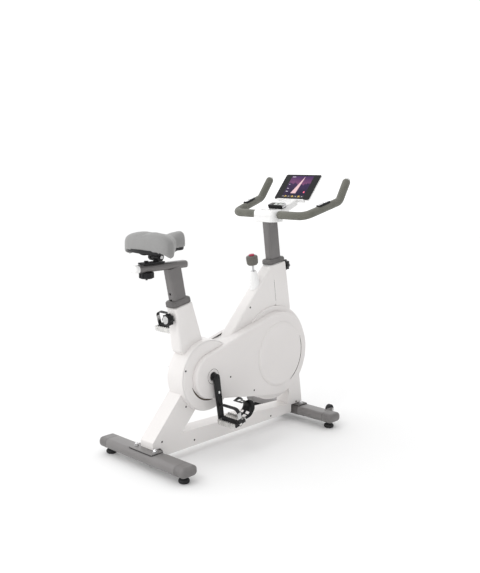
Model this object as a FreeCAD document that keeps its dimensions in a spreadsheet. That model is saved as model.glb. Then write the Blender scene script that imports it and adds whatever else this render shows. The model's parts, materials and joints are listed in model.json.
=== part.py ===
"""Exercise bike: a belt-driven indoor cycle, built as an assembly of separate pieces.

Millimetres. +X points to the front of the bike, +Y to the rider's left, +Z up.
The origin is on the floor, under the middle of the bike.
"""
import FreeCAD
import Part
import Sketcher
import math
import os
import re

from FreeCAD import Placement, Rotation, Vector

SIZES = {
    # where the main axes are
    "crank_x": -173, "crank_z": 312.5, "wheel_x": 233, "wheel_z": 330,
    "rear_foot_x": -452, "front_foot_x": 392, "foot_y": 215,
    "seat_tilt": 11.5, "seat_x": -284, "seat_z": 628,
    "bar_tilt": 7.8, "bar_x": 260, "bar_z": 745,
    # stabilisers and feet
    "stabiliser_length": 500, "stabiliser_width": 76, "stabiliser_height": 40,
    "stabiliser_z": 47, "cap_length": 48, "tube_wall": 2, "foot_radius": 21,
    "foot_plate_length": 136, "foot_plate_width": 56, "foot_plate_thickness": 4,
    "bolt_spacing": 108, "transport_radius": 20,
    "transport_width": 20, "transport_y": 172, "wheel_reach": 58, "transport_z": 60,
    # frame and shells
    "shell_half": 36, "neck_half": 28.5, "disc_half": 60, "shell_wall": 3,
    "rear_disc_radius": 142, "wheel_disc_radius": 203,
    "cover_rear_radius": 90, "cover_wheel_radius": 180, "cover_half": 80, "cover_slope": 1.4,
    "cover_wall": 2.5, "raised_disc_radius": 139, "raised_disc_height": 3,
    "cover_left_half": 52,
    "frame_half": 21, "bracket_radius": 24, "bracket_half": 34,
    "fork_inner": 19, "fork_thickness": 5,
    # posts
    "seat_post_depth": 64, "seat_post_width": 40, "bar_post_depth": 64,
    "bar_post_width": 38, "post_corner": 10, "tube_gap": 0.4, "pin_pitch": 25,
    "slide_tube_width": 40, "slide_tube_height": 28, "slide_z": 757,
    # drive
    "crank_length": 170, "crank_angle": 8.4, "crank_inner": 90, "hub_inner": 81,
    "crank_thickness": 14, "crank_width": 24, "spindle_radius": 10, "fit_gap": 0.05,
    "body_gap": 0.3,
    "drive_radius": 78, "driven_radius": 22, "belt_y": 51, "belt_width": 12,
    "belt_thickness": 2.5, "flywheel_radius": 180, "flywheel_rim": 18,
    "axle_radius": 8.5, "bearing_radius": 17.5, "bearing_width": 10,
    "pedal_start": 108, "pedal_width": 96, "pedal_length": 64, "pedal_height": 24,
    "pedal_tilt": 15, "pedal_spindle_radius": 6.5,
    # controls
    "lock_knob_radius": 24, "lock_knob_height": 26, "seat_lock_z": 550, "bar_lock_z": 697,
    "pin_radius": 4, "brake_x": 139, "brake_top": 690, "brake_tilt": 10, "brake_rod_radius": 4.5,
    "tablet_width": 200, "tablet_height": 139, "tablet_thickness": 8, "tablet_tilt": 40.3,
    # handlebar
    "bar_height": 922, "bar_centre_x": 232, "bar_radius": 12.5, "grip_radius": 17,
    # saddle
    "saddle_x": -387, "saddle_tilt_z": 796, "saddle_width": 250, "rail_radius": 3.5,
    "rail_half": 22, "saddle_foot": 824, "saddle_top": 892,
}

doc = FreeCAD.newDocument("exercise_bike")
sheet = doc.addObject("Spreadsheet::Sheet", "Sizes")
for row, (alias, value) in enumerate(SIZES.items(), start=1):
    sheet.set("A%d" % row, alias)
    sheet.set("B%d" % row, str(value))
    sheet.setAlias("B%d" % row, alias)
doc.recompute()

ALONG_X = Rotation(Vector(0, 1, 0), 90)
ALONG_Y = Rotation(Vector(1, 0, 0), -90)
TO_RIGHT = Rotation(Vector(1, 0, 0), 90)
UPRIGHT = Rotation()
SEAT_TURN = Rotation(Vector(0, 1, 0), -SIZES["seat_tilt"])
BAR_TURN = Rotation(Vector(0, 1, 0), -SIZES["bar_tilt"])
SIDES = {"right": -1, "left": 1}
MAGNET_PIVOT = (112, 500)
nodes = {}


# ---------------------------------------------------------------- small helpers

def cell(text):
    """An expression in plain aliases, as the spreadsheet wants it."""
    return re.sub(r"[a-z]\w*", lambda word: "Sizes." + word.group() if word.group() in SIZES
                  else word.group(), str(text))


def size(name):
    return float(sheet.get(name))


def place(thing, at=(0, 0, 0), turn=UPRIGHT):
    """Put a thing somewhere; a coordinate given as words is bound to the sheet."""
    numbers = [0 if isinstance(value, str) else value for value in at]
    thing.Placement = Placement(Vector(*numbers), turn)
    for axis, value in zip("xyz", at):
        if isinstance(value, str):
            thing.setExpression(".Placement.Base." + axis, cell(value))
    return thing


def primitive(kind, name, at, turn, **sizes):
    thing = doc.addObject("Part::" + kind, name)
    for prop, value in sizes.items():
        thing.setExpression(prop, cell(value))
    return place(thing, at, turn)


def cylinder(name, radius, height, at, turn=UPRIGHT):
    return primitive("Cylinder", name, at, turn, Radius=radius, Height=height)


def across(name, radius, half, x, z):
    """A cylinder along Y, the same distance either side of the middle."""
    return cylinder(name, radius, "2 * (%s)" % half, (x, "-(%s)" % half, z), ALONG_Y)


def box(name, lengths, corner, turn=UPRIGHT):
    long, wide, tall = lengths
    return primitive("Box", name, corner, turn, Length=long, Width=wide, Height=tall)


def fuse(name, shapes):
    thing = doc.addObject("Part::MultiFuse", name)
    thing.Shapes = shapes
    return thing


def cut(name, base, tools):
    thing = doc.addObject("Part::Cut", name)
    thing.Base = base
    thing.Tool = tools[0] if len(tools) == 1 else fuse(name + "_tools", tools)
    return thing


def group(name, shapes):
    thing = doc.addObject("Part::Compound", name)
    thing.Links = shapes
    return thing


def feature(name, shape, at=(0, 0, 0), turn=UPRIGHT):
    thing = doc.addObject("Part::Feature", name)
    thing.Shape = shape
    return place(thing, at, turn)


def keep(label, thing):
    """Make a thing one of the bike's pieces, under the name it is written with."""
    thing.Label = label
    nodes[label] = thing
    return thing


def draw_loop(sketch, points):
    """Straight lines through the points, closed."""
    for start, end in zip(points, points[1:] + points[:1]):
        sketch.addGeometry(Part.LineSegment(Vector(*start, 0), Vector(*end, 0)), False)


def draw_rounded(sketch, wide, tall, corner, centre=(0, 0)):
    """A rectangle with round corners, wide along the sketch's first axis."""
    right = wide / 2 - corner
    top = tall / 2 - corner
    x, y = centre
    spots = [(right, top, 0), (-right, top, 90), (-right, -top, 180), (right, -top, 270)]
    ends = []
    for across_x, up, start in spots:
        middle = Vector(x + across_x, y + up, 0)
        first = math.radians(start)
        circle = Part.Circle(middle, Vector(0, 0, 1), corner)
        sketch.addGeometry(Part.ArcOfCircle(circle, first, first + math.pi / 2), False)
        ends.append([middle + corner * Vector(math.cos(a), math.sin(a), 0)
                     for a in (first, first + math.pi / 2)])
    for (_, leave), (arrive, _) in zip(ends, ends[1:] + ends[:1]):
        if (leave - arrive).Length > 1e-6:
            sketch.addGeometry(Part.LineSegment(leave, arrive), False)


def draw_circle(sketch, radius, centre=(0, 0)):
    """A circle whose radius is bound to the sheet."""
    number = sketch.addGeometry(Part.Circle(Vector(*centre, 0), Vector(0, 0, 1), 1), False)
    index = sketch.addConstraint(Sketcher.Constraint("Radius", number, 1.0))
    sketch.setExpression("Constraints[%d]" % index, cell(radius))


def side_sketch(name, points=None, circle=None):
    """A loose sketch on the bike's middle plane, first axis to the front, second up."""
    sketch = doc.addObject("Sketcher::SketchObject", name)
    sketch.Placement = Placement(Vector(), TO_RIGHT)
    if points:
        draw_loop(sketch, points)
    if circle:
        x, z, radius = circle
        draw_circle(sketch, radius, (size(x), size(z)))
    return sketch


def extrude(name, source, start, end):
    """Push a middle-plane sketch to the right, from one distance to another."""
    thing = doc.addObject("Part::Extrusion", name)
    thing.Base = source
    thing.DirMode = "Custom"
    thing.Dir = Vector(0, -1, 0)
    thing.Solid = True
    thing.setExpression("LengthFwd", cell(end))
    thing.setExpression("LengthRev", cell("-(%s)" % start))
    return thing


def inset(name, source, by):
    """The same outline, smaller all round."""
    thing = doc.addObject("Part::Offset2D", name)
    thing.Source = source
    thing.Join = 2
    thing.setExpression("Value", cell("-(%s)" % by))
    return thing


class Body:
    """A PartDesign body, with the few features this bike needs."""

    def __init__(self, label):
        self.body = doc.addObject("PartDesign::Body", label)
        self.label = label
        self.count = 0

    def name(self, word):
        self.count += 1
        return "%s_%s%d" % (self.label, word, self.count)

    def sketch(self, role="XY_Plane", up=0):
        sketch = self.body.newObject("Sketcher::SketchObject", self.name("sketch"))
        plane = [part for part in self.body.Origin.OriginFeatures if part.Role == role][0]
        sketch.AttachmentSupport = [(plane, "")]
        sketch.MapMode = "FlatFace"
        sketch.AttachmentOffset = Placement(Vector(0, 0, 0 if isinstance(up, str) else up), UPRIGHT)
        if isinstance(up, str):
            sketch.setExpression(".AttachmentOffset.Base.z", cell(up))
        return sketch

    def pad(self, sketch, length, middle=False, back=False):
        pad = self.body.newObject("PartDesign::Pad", self.name("pad"))
        pad.Profile = sketch
        pad.setExpression("Length", cell(length))
        pad.Midplane = middle
        pad.Reversed = back
        return pad

    def pocket(self, sketch, length=None, back=False):
        doc.recompute()
        before = self.body.Shape.Volume
        pocket = self.body.newObject("PartDesign::Pocket", self.name("pocket"))
        pocket.Profile = sketch
        pocket.Reversed = back
        if length is None:
            pocket.Type = "ThroughAll"
            pocket.Midplane = True
        else:
            pocket.setExpression("Length", cell(length))
        doc.recompute()
        if self.body.Shape.Volume > before - 1e-3:
            raise ValueError("a pocket of %s cuts nothing" % self.label)
        return pocket

    def revolve(self, points):
        """Turn an outline of (radius, height) points about the body's Z axis."""
        sketch = self.sketch("XZ_Plane")
        draw_loop(sketch, points)
        turn = self.body.newObject("PartDesign::Revolution", self.name("revolution"))
        turn.Profile = sketch
        turn.ReferenceAxis = (sketch, ["V_Axis"])
        turn.Angle = 360
        return turn

    def repeat(self, feature_to_copy, count):
        """Repeat a feature round the body's Z axis."""
        pattern = self.body.newObject("PartDesign::PolarPattern", self.name("pattern"))
        pattern.Originals = [feature_to_copy]
        axis = [part for part in self.body.Origin.OriginFeatures if part.Role == "Z_Axis"][0]
        pattern.Axis = (axis, [""])
        pattern.Angle = 360
        pattern.Occurrences = count
        self.body.Tip = pattern
        return pattern

    def round_edges(self, choose, radius):
        """Fillet the edges of the present shape that the rule picks."""
        doc.recompute()
        shape = self.body.Shape
        names = ["Edge%d" % (i + 1) for i, edge in enumerate(shape.Edges) if choose(edge)]
        base = self.body.Tip
        fillet = self.body.newObject("PartDesign::Fillet", self.name("fillet"))
        fillet.Base = (base, names)
        fillet.setExpression("Radius", cell(radius))
        doc.recompute()
        return fillet

    def done(self, at=(0, 0, 0), turn=UPRIGHT):
        place(self.body, at, turn)
        return self.body


def rod_along(points, radius, bend, caps=False):
    """A round rod through the points, with tangent arcs of one radius at its bends."""
    spots = [Vector(*point) for point in points]
    edges = []
    here = spots[0]
    for before, corner, after in zip(spots, spots[1:], spots[2:]):
        arrive = (corner - before).normalize()
        leave = (after - corner).normalize()
        half = arrive.getAngle(leave) / 2
        reach = bend * math.tan(half)
        start = corner - arrive * reach
        end = corner + leave * reach
        inward = (leave - arrive).normalize()
        middle = corner + inward * (bend / math.cos(half) - bend)
        edges.append(Part.LineSegment(here, start).toShape())
        edges.append(Part.Arc(start, middle, end).toShape())
        here = end
    edges.append(Part.LineSegment(here, spots[-1]).toShape())
    first = (spots[1] - spots[0]).normalize()
    ring = Part.Wire(Part.Circle(spots[0], first, radius).toShape())
    rod = Part.Wire(edges).makePipeShell([ring], True, False)
    if caps:
        rod = rod.fuse(Part.makeSphere(radius, spots[-1])).removeSplitter()
    return rod


def post_point(base_x, base_z, tilt, height):
    """The centre of a leaning post where it crosses a height."""
    return base_x - (height - base_z) * math.tan(math.radians(tilt))


def seat_at(height):
    return post_point(size("seat_x"), size("seat_z"), size("seat_tilt"), height)


def bar_at(height):
    return post_point(size("bar_x"), size("bar_z"), size("bar_tilt"), height)


def oval_bar(label, depth, width, corner, length, wall=None):
    """A rounded bar along Z, hollow when a wall is given."""
    part = Body(label)
    sketch = part.sketch()
    draw_rounded(sketch, depth, width, corner)
    part.pad(sketch, length)
    if wall:
        hollow = part.sketch()
        draw_rounded(hollow, depth - 2 * wall, width - 2 * wall, corner - wall)
        part.pocket(hollow)
    return part


def fluted_knob(label, radius, height, bore, flutes=8):
    """A grip knob along Z from its back face, with finger flutes and a rounded nose."""
    part = Body(label)
    sketch = part.sketch()
    draw_circle(sketch, radius)
    part.pad(sketch, height)
    part.round_edges(lambda edge: edge.CenterOfMass.z > 1 and len(edge.Vertexes) == 1, 4)
    flute = part.sketch()
    draw_circle(flute, 5, (part.body.Shape.BoundBox.XMax + 2.6, 0))
    part.repeat(part.pocket(flute), flutes)
    if bore:
        hole = part.sketch()
        draw_circle(hole, bore)
        part.pocket(hole)
    return part


# ---------------------------------------------------------------- stabilisers and feet

def stabiliser(label, x):
    part = Body(label + "_tube")
    sketch = part.sketch("XZ_Plane")
    draw_rounded(sketch, size("stabiliser_width"), size("stabiliser_height"), 17)
    part.pad(sketch, "stabiliser_length - 2 * cap_length", middle=True)
    hollow = part.sketch("XZ_Plane")
    draw_rounded(hollow, size("stabiliser_width") - 4, size("stabiliser_height") - 4, 15)
    part.pocket(hollow)
    tube = part.done((x, 0, "stabiliser_z"))
    if label.startswith("front"):
        tube = fuse(label, [tube] + wheel_brackets())
    keep(label, tube)


def end_cap(name, x, side):
    """A moulded cap that closes a stabiliser's end and takes its foot."""
    part = Body(name + "_block")
    sketch = part.sketch("XZ_Plane")
    draw_rounded(sketch, size("stabiliser_width"), size("stabiliser_height"), 17)
    part.pad(sketch, "cap_length", back=side > 0)
    far = size("cap_length") - 1
    part.round_edges(lambda edge: abs(edge.BoundBox.YMin) > far and abs(edge.BoundBox.YMax) > far, 12)
    start = "%d * (stabiliser_length / 2 - cap_length)" % side
    block = part.done((x, start, "stabiliser_z"))
    hole = cylinder(name + "_hole", "pin_radius + fit_gap", 18,
                    (x, "%d * foot_y" % side, "stabiliser_z - stabiliser_height / 2"))
    return cut(name, block, [hole])


def wheel_brackets():
    """The welded lugs and stubs that carry the transport wheels."""
    x = "front_foot_x + wheel_reach"
    parts = []
    for side in SIDES.values():
        lug_y = "transport_y + 12" if side > 0 else "-(transport_y + 17)"
        parts.append(box("lug_%d" % side, (66, 5, 20), ("front_foot_x + 2", lug_y, "transport_z - 10")))
        start = "transport_y - 14" if side > 0 else "-(transport_y + 13)"
        parts.append(cylinder("stub_%d" % side, "pin_radius", 27, (x, start, "transport_z"),
                              ALONG_Y))
    return parts


def make_end_caps():
    caps = []
    for end, x in (("rear", "rear_foot_x"), ("front", "front_foot_x")):
        for side_name, side in SIDES.items():
            name = "%s_cap_%s" % (end, side_name)
            caps.append(end_cap(name, x, side))
    keep("end_caps", group("end_caps", caps))


def make_transport_wheels():
    for side_name, side in SIDES.items():
        label = "transport_wheel_" + side_name
        part = Body(label)
        outer = size("transport_radius")
        half = size("transport_width") / 2
        bore = size("pin_radius") + size("fit_gap")
        part.revolve([(bore, -half), (outer - 4, -half), (outer, -half + 4), (outer, half - 4),
                      (outer - 4, half), (bore, half)])
        keep(label, part.done(("front_foot_x + wheel_reach", "%d * transport_y" % side,
                               "transport_z"), ALONG_Y))


def make_feet():
    """Levelling feet: a rubber pad with a stud that screws into the cap."""
    top = size("stabiliser_z") - size("stabiliser_height") / 2 - size("body_gap")
    pad = size("foot_radius")
    stud = size("pin_radius")
    outline = [(0, 0), (pad - 2, 0), (pad, 2), (pad, 12), (pad - 5, 17), (11, 17), (11, top),
               (stud, top), (stud, top + 14), (0, top + 14)]
    for end, x in (("rear", "rear_foot_x"), ("front", "front_foot_x")):
        for side_name, side in SIDES.items():
            label = "foot_%s_%s" % (end, side_name)
            part = Body(label)
            part.revolve(outline)
            keep(label, part.done((x, "%d * foot_y" % side, 0)))


def make_stabiliser_bolts():
    """Carriage bolts with dome nuts on the foot plates."""
    bolts = []
    top = size("stabiliser_z") + size("stabiliser_height") / 2 + size("foot_plate_thickness")
    for x in ("rear_foot_x", "front_foot_x"):
        for side in SIDES.values():
            part = Body("bolt_%s_%d" % (x[:5].strip("_"), side + 1))
            part.revolve([(0, 0), (9, 0), (9, 5), (7, 8), (6, 12), (0, 14)])
            bolts.append(part.done((x, "%d * bolt_spacing / 2" % side, top)))
    keep("stabiliser_bolts", group("stabiliser_bolts", bolts))


# ---------------------------------------------------------------- frame

def side_plate(name, points, start, end):
    """A flat shape cut in the side view, between two distances from the middle."""
    return extrude(name, side_sketch(name + "_outline", points), start, end)


def bar_between(first, second, wide):
    """The four corners of a straight bar in the side view."""
    (x1, z1), (x2, z2) = first, second
    length = math.hypot(x2 - x1, z2 - z1)
    nx = -(z2 - z1) / length * wide / 2
    nz = (x2 - x1) / length * wide / 2
    return [(x1 + nx, z1 + nz), (x1 - nx, z1 - nz), (x2 - nx, z2 - nz), (x2 + nx, z2 + nz)]


def post_channel(name, x, z, turn, depth, width, length, below):
    """A long rounded bar along a leaning post's axis, for a socket or its wall."""
    bar = oval_bar(name, depth, width, size("post_corner"), length)
    down = turn.multVec(Vector(0, 0, -below))
    return bar.done((x + down.x, 0, z + down.z), turn)


def brake_turn():
    return Rotation(Vector(0, 1, 0), -size("brake_tilt"))


def brake_point(height):
    """The brake rod's centre where it crosses a height."""
    return post_point(size("brake_x"), size("brake_top"), size("brake_tilt"), height)


def brake_rod_way(name, radius):
    return cylinder(name, radius, 260, (brake_point(470), 0, 470), brake_turn())


def make_main_frame():
    half = size("frame_half")
    crank = (size("crank_x"), size("crank_z"))
    wheel = (size("wheel_x"), size("wheel_z"))
    base = size("stabiliser_z") + size("stabiliser_height") / 2
    rear_foot = (size("rear_foot_x") + 40, base + 13)
    tubes = [
        side_plate("beam", bar_between((-400, 64), (352, 62), 30), -half, half),
        side_plate("rear_leg", bar_between(rear_foot, (-222, 290), 44), -half, half),
        side_plate("diagonal", bar_between((-166, 262), (240, 693), 44), -half, half),
        across("bracket", "bracket_radius", "bracket_half", "crank_x", "crank_z"),
    ]
    for end, x in (("rear", "rear_foot_x"), ("front", "front_foot_x")):
        tubes.append(box(end + "_plate", ("foot_plate_width", "foot_plate_length",
                                          "foot_plate_thickness"),
                         (x + " - foot_plate_width / 2", "-foot_plate_length / 2",
                          "stabiliser_z + stabiliser_height / 2")))
    tubes.append(side_plate("rear_web", bar_between((size("rear_foot_x") + 14, base + 12),
                                                    (-380, base + 12), 24), -half, half))
    seat_depth = size("seat_post_depth")
    seat_width = size("seat_post_width")
    bar_depth = size("bar_post_depth")
    bar_width = size("bar_post_width")
    gap = 2 * size("tube_gap")
    tubes.append(post_channel("seat_tube", size("seat_x"), size("seat_z"), SEAT_TURN,
                              seat_depth + 7, seat_width + 7, 302, 330))
    tubes.append(post_channel("head_tube", size("bar_x"), size("bar_z"), BAR_TURN,
                              bar_depth + 7, bar_width + 7, 180, 210))
    fork = [(240, 600), (262, 520), (wheel[0] - 30, wheel[1] + 10), (wheel[0] - 20, wheel[1] - 28),
            (338, 165), (340, 71), (398, 71), (388, 190), (wheel[0] + 40, wheel[1]), (330, 520),
            (312, 600)]
    inner = size("fork_inner")
    outer = inner + size("fork_thickness")
    for side in SIDES.values():
        start, end = (inner, outer) if side < 0 else (-outer, -inner)
        tubes.append(side_plate("fork_%d" % (side + 1), fork, start, end))
    pivot_x, pivot_z = MAGNET_PIVOT
    lug = [(pivot_x - 9, pivot_z - 8), (pivot_x - 9, pivot_z + 24), (pivot_x + 20, pivot_z + 56),
           (pivot_x + 14, pivot_z - 8)]
    for start, end in ((16.5, 21), (-21, -16.5)):
        tubes.append(side_plate("pivot_lug_%d" % (start > 0), lug, start, end))
    tubes.append(across("pivot_pin", "pin_radius", "frame_half", pivot_x, pivot_z))
    tubes.append(side_plate("fork_bridge", bar_between((270, 548), (322, 543), 20), -24, 24))
    tubes.append(side_plate("fork_foot", bar_between((369, 71), (369, 100), 56), -24, 24))
    seat_lock = (seat_at(size("seat_lock_z")) - 44, 0, size("seat_lock_z"))
    bar_lock = (bar_at(size("bar_lock_z")) + 30, 0, size("bar_lock_z"))
    tubes.append(cylinder("seat_bush", 11, 20, seat_lock, ALONG_X))
    tubes.append(cylinder("bar_bush", 11, 20, bar_lock, ALONG_X))
    hollows = [
        post_channel("seat_socket", size("seat_x"), size("seat_z"), SEAT_TURN,
                     seat_depth + gap, seat_width + gap, 310, 300),
        post_channel("bar_socket", size("bar_x"), size("bar_z"), BAR_TURN,
                     bar_depth + gap, bar_width + gap, 220, 200),
        across("bracket_bore", "bearing_radius", "bracket_half + 1", "crank_x", "crank_z"),
        across("axle_bore", "bearing_radius", "fork_inner + 10", "wheel_x", "wheel_z"),
        cylinder("seat_pin_bore", "pin_radius + fit_gap", 60, (seat_lock[0] - 20, 0, seat_lock[2]),
                 ALONG_X),
        cylinder("bar_pin_bore", "pin_radius + fit_gap", 60, (bar_lock[0] - 20, 0, bar_lock[2]),
                 ALONG_X),
        brake_rod_way("rod_bore", "brake_rod_radius + 1"),
    ]
    keep("main_frame", cut("main_frame", fuse("frame_weldment", tubes), hollows))


def make_bearings():
    rings = []
    crank_y = size("bracket_half") - size("bearing_width")
    fork_y = size("fork_inner") + size("fork_thickness") / 2 - size("bearing_width") / 2
    spots = [("crank", "crank_x", "crank_z", crank_y, "spindle_radius"),
             ("axle", "wheel_x", "wheel_z", fork_y, "axle_radius")]
    for name, x, z, start, inner in spots:
        for side_name, side in SIDES.items():
            y = start if side > 0 else -start - size("bearing_width")
            full = "%s_bearing_%s" % (name, side_name)
            ring = cylinder(full + "_ring", "bearing_radius", "bearing_width", (x, y, z), ALONG_Y)
            bore = cylinder(full + "_bore", inner + " + fit_gap", "bearing_width", (x, y, z), ALONG_Y)
            rings.append(cut(full, ring, [bore]))
    keep("bearings", group("bearings", rings))


# ---------------------------------------------------------------- shells

def shell_outlines():
    """The convex pieces of the body's side view: name, outline, half width."""
    return [
        ("leg_skin", [(-447, 72), (-447, 98), (-283, 280), (-218, 230), (-222, 190), (-320, 84),
                      (-330, 40), (-372, 36), (-412, 72)], "shell_half"),
        ("beam_skin", [(-372, 36), (-345, 108), (-301, 106), (119, 92), (345, 78), (349, 72),
                       (349, 38)], "shell_half"),
        ("front_leg_skin", [(332, 60), (332, 210), (400, 215), (421, 72), (349, 72), (349, 60)],
         "shell_half"),
        ("middle_skin", [(-95, 210), (-125, 420), (-53, 432), (80, 460), (200, 430), (200, 150)],
         "shell_half"),
        ("diagonal_skin", [(-90, 375), (-53, 416), (160, 642), (205, 690), (227, 710), (251, 533),
                           (150, 440)], "neck_half"),
        ("seat_skin", [(-317, 596), (-232, 613), (-178, 452), (-190, 400), (-262, 400),
                       (-296, 420)], "neck_half"),
    ]


def discs():
    return [("wheel_skin", ("wheel_x", "wheel_z"), "wheel_disc_radius", "shell_half"),
            ("crank_skin", ("crank_x", "crank_z"), "rear_disc_radius", "disc_half")]


def cover_outline(name, grow="0"):
    """The belt cover's side view: a small and a large circle with their common tangents."""
    x1, z1, x2, z2 = (size(key) for key in ("crank_x", "crank_z", "wheel_x", "wheel_z"))
    extra = float(grow)
    r1 = size("cover_rear_radius") + extra
    r2 = size("cover_wheel_radius") + extra
    return tangent_loop(name, (x1, z1, r1), (x2, z2, r2))


def tangent_loop(name, first, second):
    """Two circles and the straight lines that touch both, as one closed sketch."""
    (x1, z1, r1), (x2, z2, r2) = first, second
    along = math.atan2(z2 - z1, x2 - x1)
    lean = math.acos((r1 - r2) / math.hypot(x2 - x1, z2 - z1))
    sketch = side_sketch(name)
    up, down = along + lean, along - lean
    circles = [((x1, z1), r1, up, down + 2 * math.pi), ((x2, z2), r2, down, up)]
    for centre, radius, start, end in circles:
        circle = Part.Circle(Vector(*centre, 0), Vector(0, 0, 1), radius)
        sketch.addGeometry(Part.ArcOfCircle(circle, start, end), False)
    for angle in (up, down):
        ray = Vector(math.cos(angle), math.sin(angle), 0)
        sketch.addGeometry(Part.LineSegment(Vector(x1, z1, 0) + r1 * ray,
                                            Vector(x2, z2, 0) + r2 * ray), False)
    return sketch


def make_shell(side_name):
    """One half of the moulded body; only the belt side has the deep disc round the crank."""
    outer = []
    inner = []
    right = side_name == "right"
    for name, points, half in shell_outlines():
        sketch = side_sketch(name, points)
        outer.append(extrude(name + "_out", sketch, 0, half))
        small = inset(name + "_small", sketch, "shell_wall")
        inner.append(extrude(name + "_in", small, 0, half + " - shell_wall"))
    for name, (x, z), radius, half in discs():
        half = half if right else "shell_half"
        outer.append(extrude(name + "_out", side_sketch(name, circle=(x, z, radius)), 0, half))
        small = side_sketch(name + "_small", circle=(x, z, radius + " - shell_wall"))
        inner.append(extrude(name + "_in", small, 0, half + " - shell_wall"))
    drive = extrude("drive_opening", cover_outline("drive_opening_outline", "0.5"),
                    "shell_half - shell_wall - 1", "disc_half + 2")
    posts = [post_channel("seat_way", size("seat_x"), size("seat_z"), SEAT_TURN, 72, 48, 340, 320),
             post_channel("bar_way", size("bar_x"), size("bar_z"), BAR_TURN, 72, 46, 240, 220),
             brake_rod_way("brake_way", 8),
             across("bracket_way", "bracket_radius + body_gap", "bracket_half + body_gap",
                    "crank_x", "crank_z"),
             doc.getObject("frame_weldment"),
             cylinder("seat_bush_way", 13, 60, (seat_at(size("seat_lock_z")) - 50, 0,
                                                size("seat_lock_z")), ALONG_X)]
    outside = fuse(side_name + "_outside", outer)
    half_shell = cut(side_name + "_half", outside, inner + [drive] + posts)
    if right:
        keep("right_shell", half_shell)
        return
    left = doc.addObject("Part::Mirroring", "left_shell")
    left.Source = half_shell
    left.Normal = Vector(0, 1, 0)
    keep("left_shell", left)


def make_head_cover():
    """The front cover over the head tube."""
    points = [(230, 711), (312, 722), (350, 507), (338, 490), (256, 500), (253, 533)]
    whole = side_plate("head_block", points, "-neck_half", "neck_half")
    inside = [(200, 770), (304, 770), (346, 506), (335, 460), (200, 460)]
    hollow = side_plate("head_hollow", inside, "-(neck_half - shell_wall)", "neck_half - shell_wall")
    wheel = extrude("head_wheel", side_sketch("head_wheel_outline",
                                              circle=("wheel_x", "wheel_z", "wheel_disc_radius + 0.2")),
                    "-shell_half", "shell_half")
    bush = cylinder("bar_bush_way", 13, 60, (bar_at(size("bar_lock_z")), 0, size("bar_lock_z")),
                    ALONG_X)
    keep("head_cover", cut("head_cover", whole, [hollow, wheel, bush]))


def slant_room(name, off):
    """The space outside a cover's face, which leans in towards the wheel."""
    lean = Rotation(Vector(0, 0, 1), size("cover_slope"))
    corner = lean.multVec(Vector(-200, -60, 0))
    start = Vector(size("crank_x"), -size("cover_half") + off, 0) + corner
    return box(name, (800, 60, 700), tuple(start), lean)


def make_drive_cover(side_name):
    """A belt cover or its shallower twin, each with a raised disc at the wheel."""
    right = side_name == "right"
    face = "cover_half" if right else "cover_left_half"
    name = side_name + "_cover"
    skin = extrude(name + "_skin", cover_outline(name + "_edge"), "shell_half + 0.1", face)
    inside = extrude(name + "_inside", cover_outline(name + "_inner_edge", "-2.5"),
                     "shell_half - 1", face + " - cover_wall")
    plate_end = "cover_half - 6" if right else face + " + raised_disc_height"
    disc = extrude(name + "_disc", side_sketch(name + "_disc_edge", circle=(
        "wheel_x", "wheel_z", "raised_disc_radius")), face + " - 14" if right else face + " - 1",
        plate_end)
    hole = cylinder(name + "_hole", 18, 70, ("crank_x", -100, "crank_z"), ALONG_Y)
    if not right:
        return cut(name, fuse(name + "_outside", [skin, disc]), [inside, hole])
    skin = cut(name + "_slanted", skin, [slant_room(name + "_room", 0)])
    inner_room = slant_room(name + "_inner_room", size("cover_wall"))
    inside = cut(name + "_slanted_inside", inside, [inner_room])
    return cut(name, fuse(name + "_outside", [skin, disc]), [inside, hole])


def make_drive_covers():
    keep("belt_cover", make_drive_cover("right"))
    left = doc.addObject("Part::Mirroring", "left_drive_cover")
    left.Source = make_drive_cover("left")
    left.Normal = Vector(0, 1, 0)
    keep("left_drive_cover", left)


def cover_face(x):
    """How far the belt cover's slanting face stands from the middle plane."""
    return size("cover_half") - (x - size("crank_x")) * math.tan(math.radians(size("cover_slope")))


def make_cover_screws():
    """Small dark screws that hold the shells and covers on both sides."""
    shell, disc, neck = size("shell_half"), size("disc_half"), size("neck_half")
    left_cover = size("cover_left_half")
    spots = [(-402, 94, shell, shell), (-236, 59, shell, shell), (213, 51, shell, shell),
             (382, 79, shell, shell), (396, 240, shell, shell), (90, 545, neck, neck),
             (-299, 354, disc, shell), (-300, 214, disc, shell),
             (-75, 291, cover_face(-75), left_cover), (67, 205, cover_face(67), left_cover)]
    screws = []
    for x, z, right_face, left_face in spots:
        for y in (-right_face - 1.3, left_face + 0.3):
            screws.append(cylinder("screw_%d" % len(screws), 4, 1, (x, y, z), ALONG_Y))
    keep("cover_screws", group("cover_screws", screws))


# ---------------------------------------------------------------- seat

def make_collar(label, x, z, turn, depth, width, bore_depth, bore_width, height):
    part = Body(label)
    sketch = part.sketch()
    draw_rounded(sketch, depth, width, 16)
    part.pad(sketch, height)
    part.round_edges(lambda edge: edge.CenterOfMass.z > height - 0.5, 3)
    hole = part.sketch()
    gap = 2 * size("body_gap")
    draw_rounded(hole, bore_depth + gap, bore_width + gap, size("post_corner"))
    part.pocket(hole)
    keep(label, part.done((x, 0, z), turn))


def pin_holes(name, x, z, turn, rear, count):
    """A row of holes in one face of a post, for its lock pin."""
    holes = []
    for number in range(count):
        up = turn.multVec(Vector(0, 0, number * size("pin_pitch")))
        start = x + up.x - (40 if rear else 0)
        holes.append(cylinder("%s_%d" % (name, number), "pin_radius + 1", 40,
                              (start, 0, z + up.z), ALONG_X))
    return holes


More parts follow.
